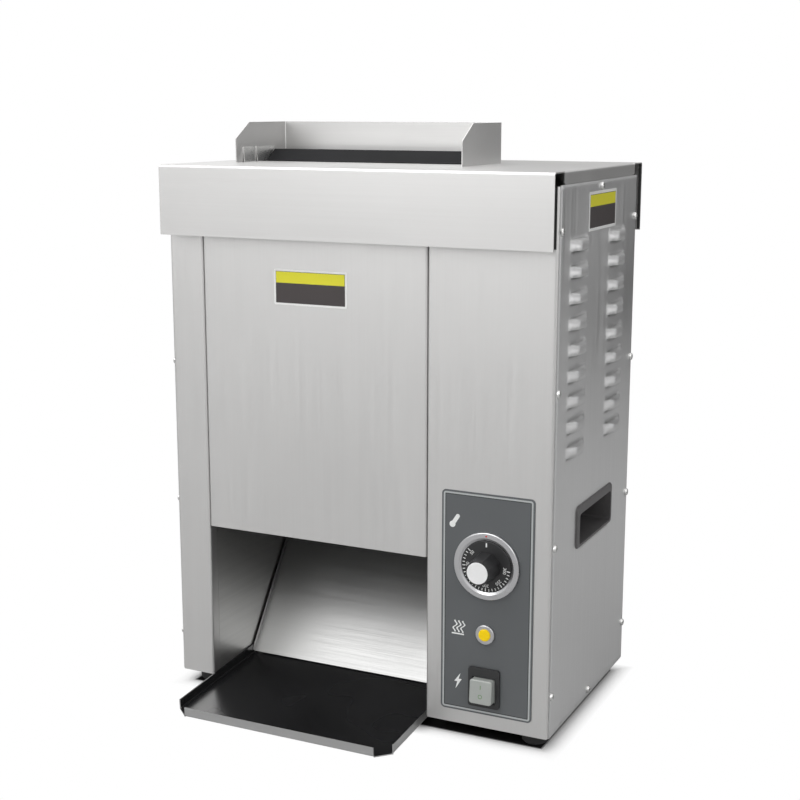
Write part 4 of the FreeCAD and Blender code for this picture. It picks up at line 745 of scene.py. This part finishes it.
front_plate_place = (-49.2, box_mm("front_cover")[0].y, 469.6)
side_plate_place = (225.0, 40.5, 552.4)
bare_plate("front_plate", width=87.3, height=38.0, edge=2.2, turn=0, place=front_plate_place)
bare_plate("side_plate", width=91.0, height=40.0, edge=3.0, turn=90, place=side_plate_place)


# Studio
def studio_floor():
    """A wide floor just under the feet, in metres"""
    floor_radius = 25.0
    floor_gap = 0.0002
    shape = bmesh.new()
    bmesh.ops.create_circle(shape, cap_ends=True, segments=96, radius=floor_radius)
    mesh = bpy.data.meshes.new("studio_floor")
    shape.to_mesh(mesh)
    shape.free()
    pale = studio_white("pale_floor", gain=1.05, mirrored=0.68, bounce=0.8, footprint=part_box("base_pan"))
    mesh.materials.append(pale)
    floor = bpy.data.objects.new("studio_floor", mesh)
    floor.location = (0, 0, -floor_gap)
    bpy.context.scene.collection.objects.link(floor)


def lamp(name, place, aim, width, height, power, metal_only=False):
    """A soft lamp, in metres and watts, that the camera doesn't see"""
    data = bpy.data.lights.new(name, "AREA")
    data.shape = "RECTANGLE"
    data.size = width
    data.size_y = height
    data.energy = power
    item = bpy.data.objects.new(name, data)
    item.location = place
    item.rotation_euler = (Vector(aim) - Vector(place)).to_track_quat("-Z", "Y").to_euler()
    item.visible_camera = False
    item.visible_diffuse = not metal_only
    bpy.context.scene.collection.objects.link(item)


def grey_card(name, place, width, height, tone):
    """A grey card that only the metal sees"""
    shape = bmesh.new()
    bmesh.ops.create_grid(shape, x_segments=1, y_segments=1, size=0.5)
    bmesh.ops.scale(shape, vec=(width, height, 1), verts=shape.verts)
    upright(shape)
    moved(shape, place)
    mesh = bpy.data.meshes.new(name)
    shape.to_mesh(mesh)
    shape.free()
    mesh.materials.append(coated("card_grey", (tone, tone, tone), 0.9, 0.02))
    card = bpy.data.objects.new(name, mesh)
    card.visible_camera = False
    card.visible_shadow = False
    card.visible_diffuse = False
    bpy.context.scene.collection.objects.link(card)


def studio_world(ambient):
    """Even light all round, seen as white by the camera and in metal"""
    world = bpy.data.worlds.new("studio")
    bpy.context.scene.world = world
    world.use_nodes = True
    tree = world.node_tree
    background = tree.nodes["Background"]
    background.inputs["Color"].default_value = (1, 1, 1, 1)
    ray = tree.nodes.new("ShaderNodeLightPath")
    first = tree.nodes.new("ShaderNodeMath")
    first.operation = "MAXIMUM"
    second = tree.nodes.new("ShaderNodeMath")
    second.operation = "MAXIMUM"
    level = tree.nodes.new("ShaderNodeMapRange")
    level.inputs["To Min"].default_value = ambient
    level.inputs["To Max"].default_value = 1.0
    tree.links.new(ray.outputs["Is Camera Ray"], first.inputs[0])
    tree.links.new(ray.outputs["Is Glossy Ray"], first.inputs[1])
    tree.links.new(first.outputs[0], second.inputs[0])
    tree.links.new(ray.outputs["Is Transmission Ray"], second.inputs[1])
    tree.links.new(second.outputs[0], level.inputs["Value"])
    tree.links.new(level.outputs["Result"], background.inputs["Strength"])


studio_floor()
studio_world(ambient=0.15)
lamp("key_lamp", (-1.2, -1.9, 3.0), aim=(0, 0, 0.25), width=3.4, height=3.4, power=90)
lamp("top_lamp", (0.1, 0.4, 2.8), aim=(0, 0, 0), width=2.8, height=2.8, power=22)
lamp("fill_lamp", (2.4, -1.8, 2.2), aim=(0, 0, 0.3), width=1.4, height=1.4, power=24)
lamp("front_lamp", (-1.0, -2.6, 1.2), aim=(0, 0, 0.45), width=1.0, height=1.0, power=9, metal_only=True)
lamp("side_lamp", (2.4, 1.2, 0.28), aim=(0.22, 0, 0.4), width=0.7, height=0.5, power=2.6, metal_only=True)
grey_card("side_card", (0.2, 2.3, 0.75), width=3.0, height=1.5, tone=0.03)
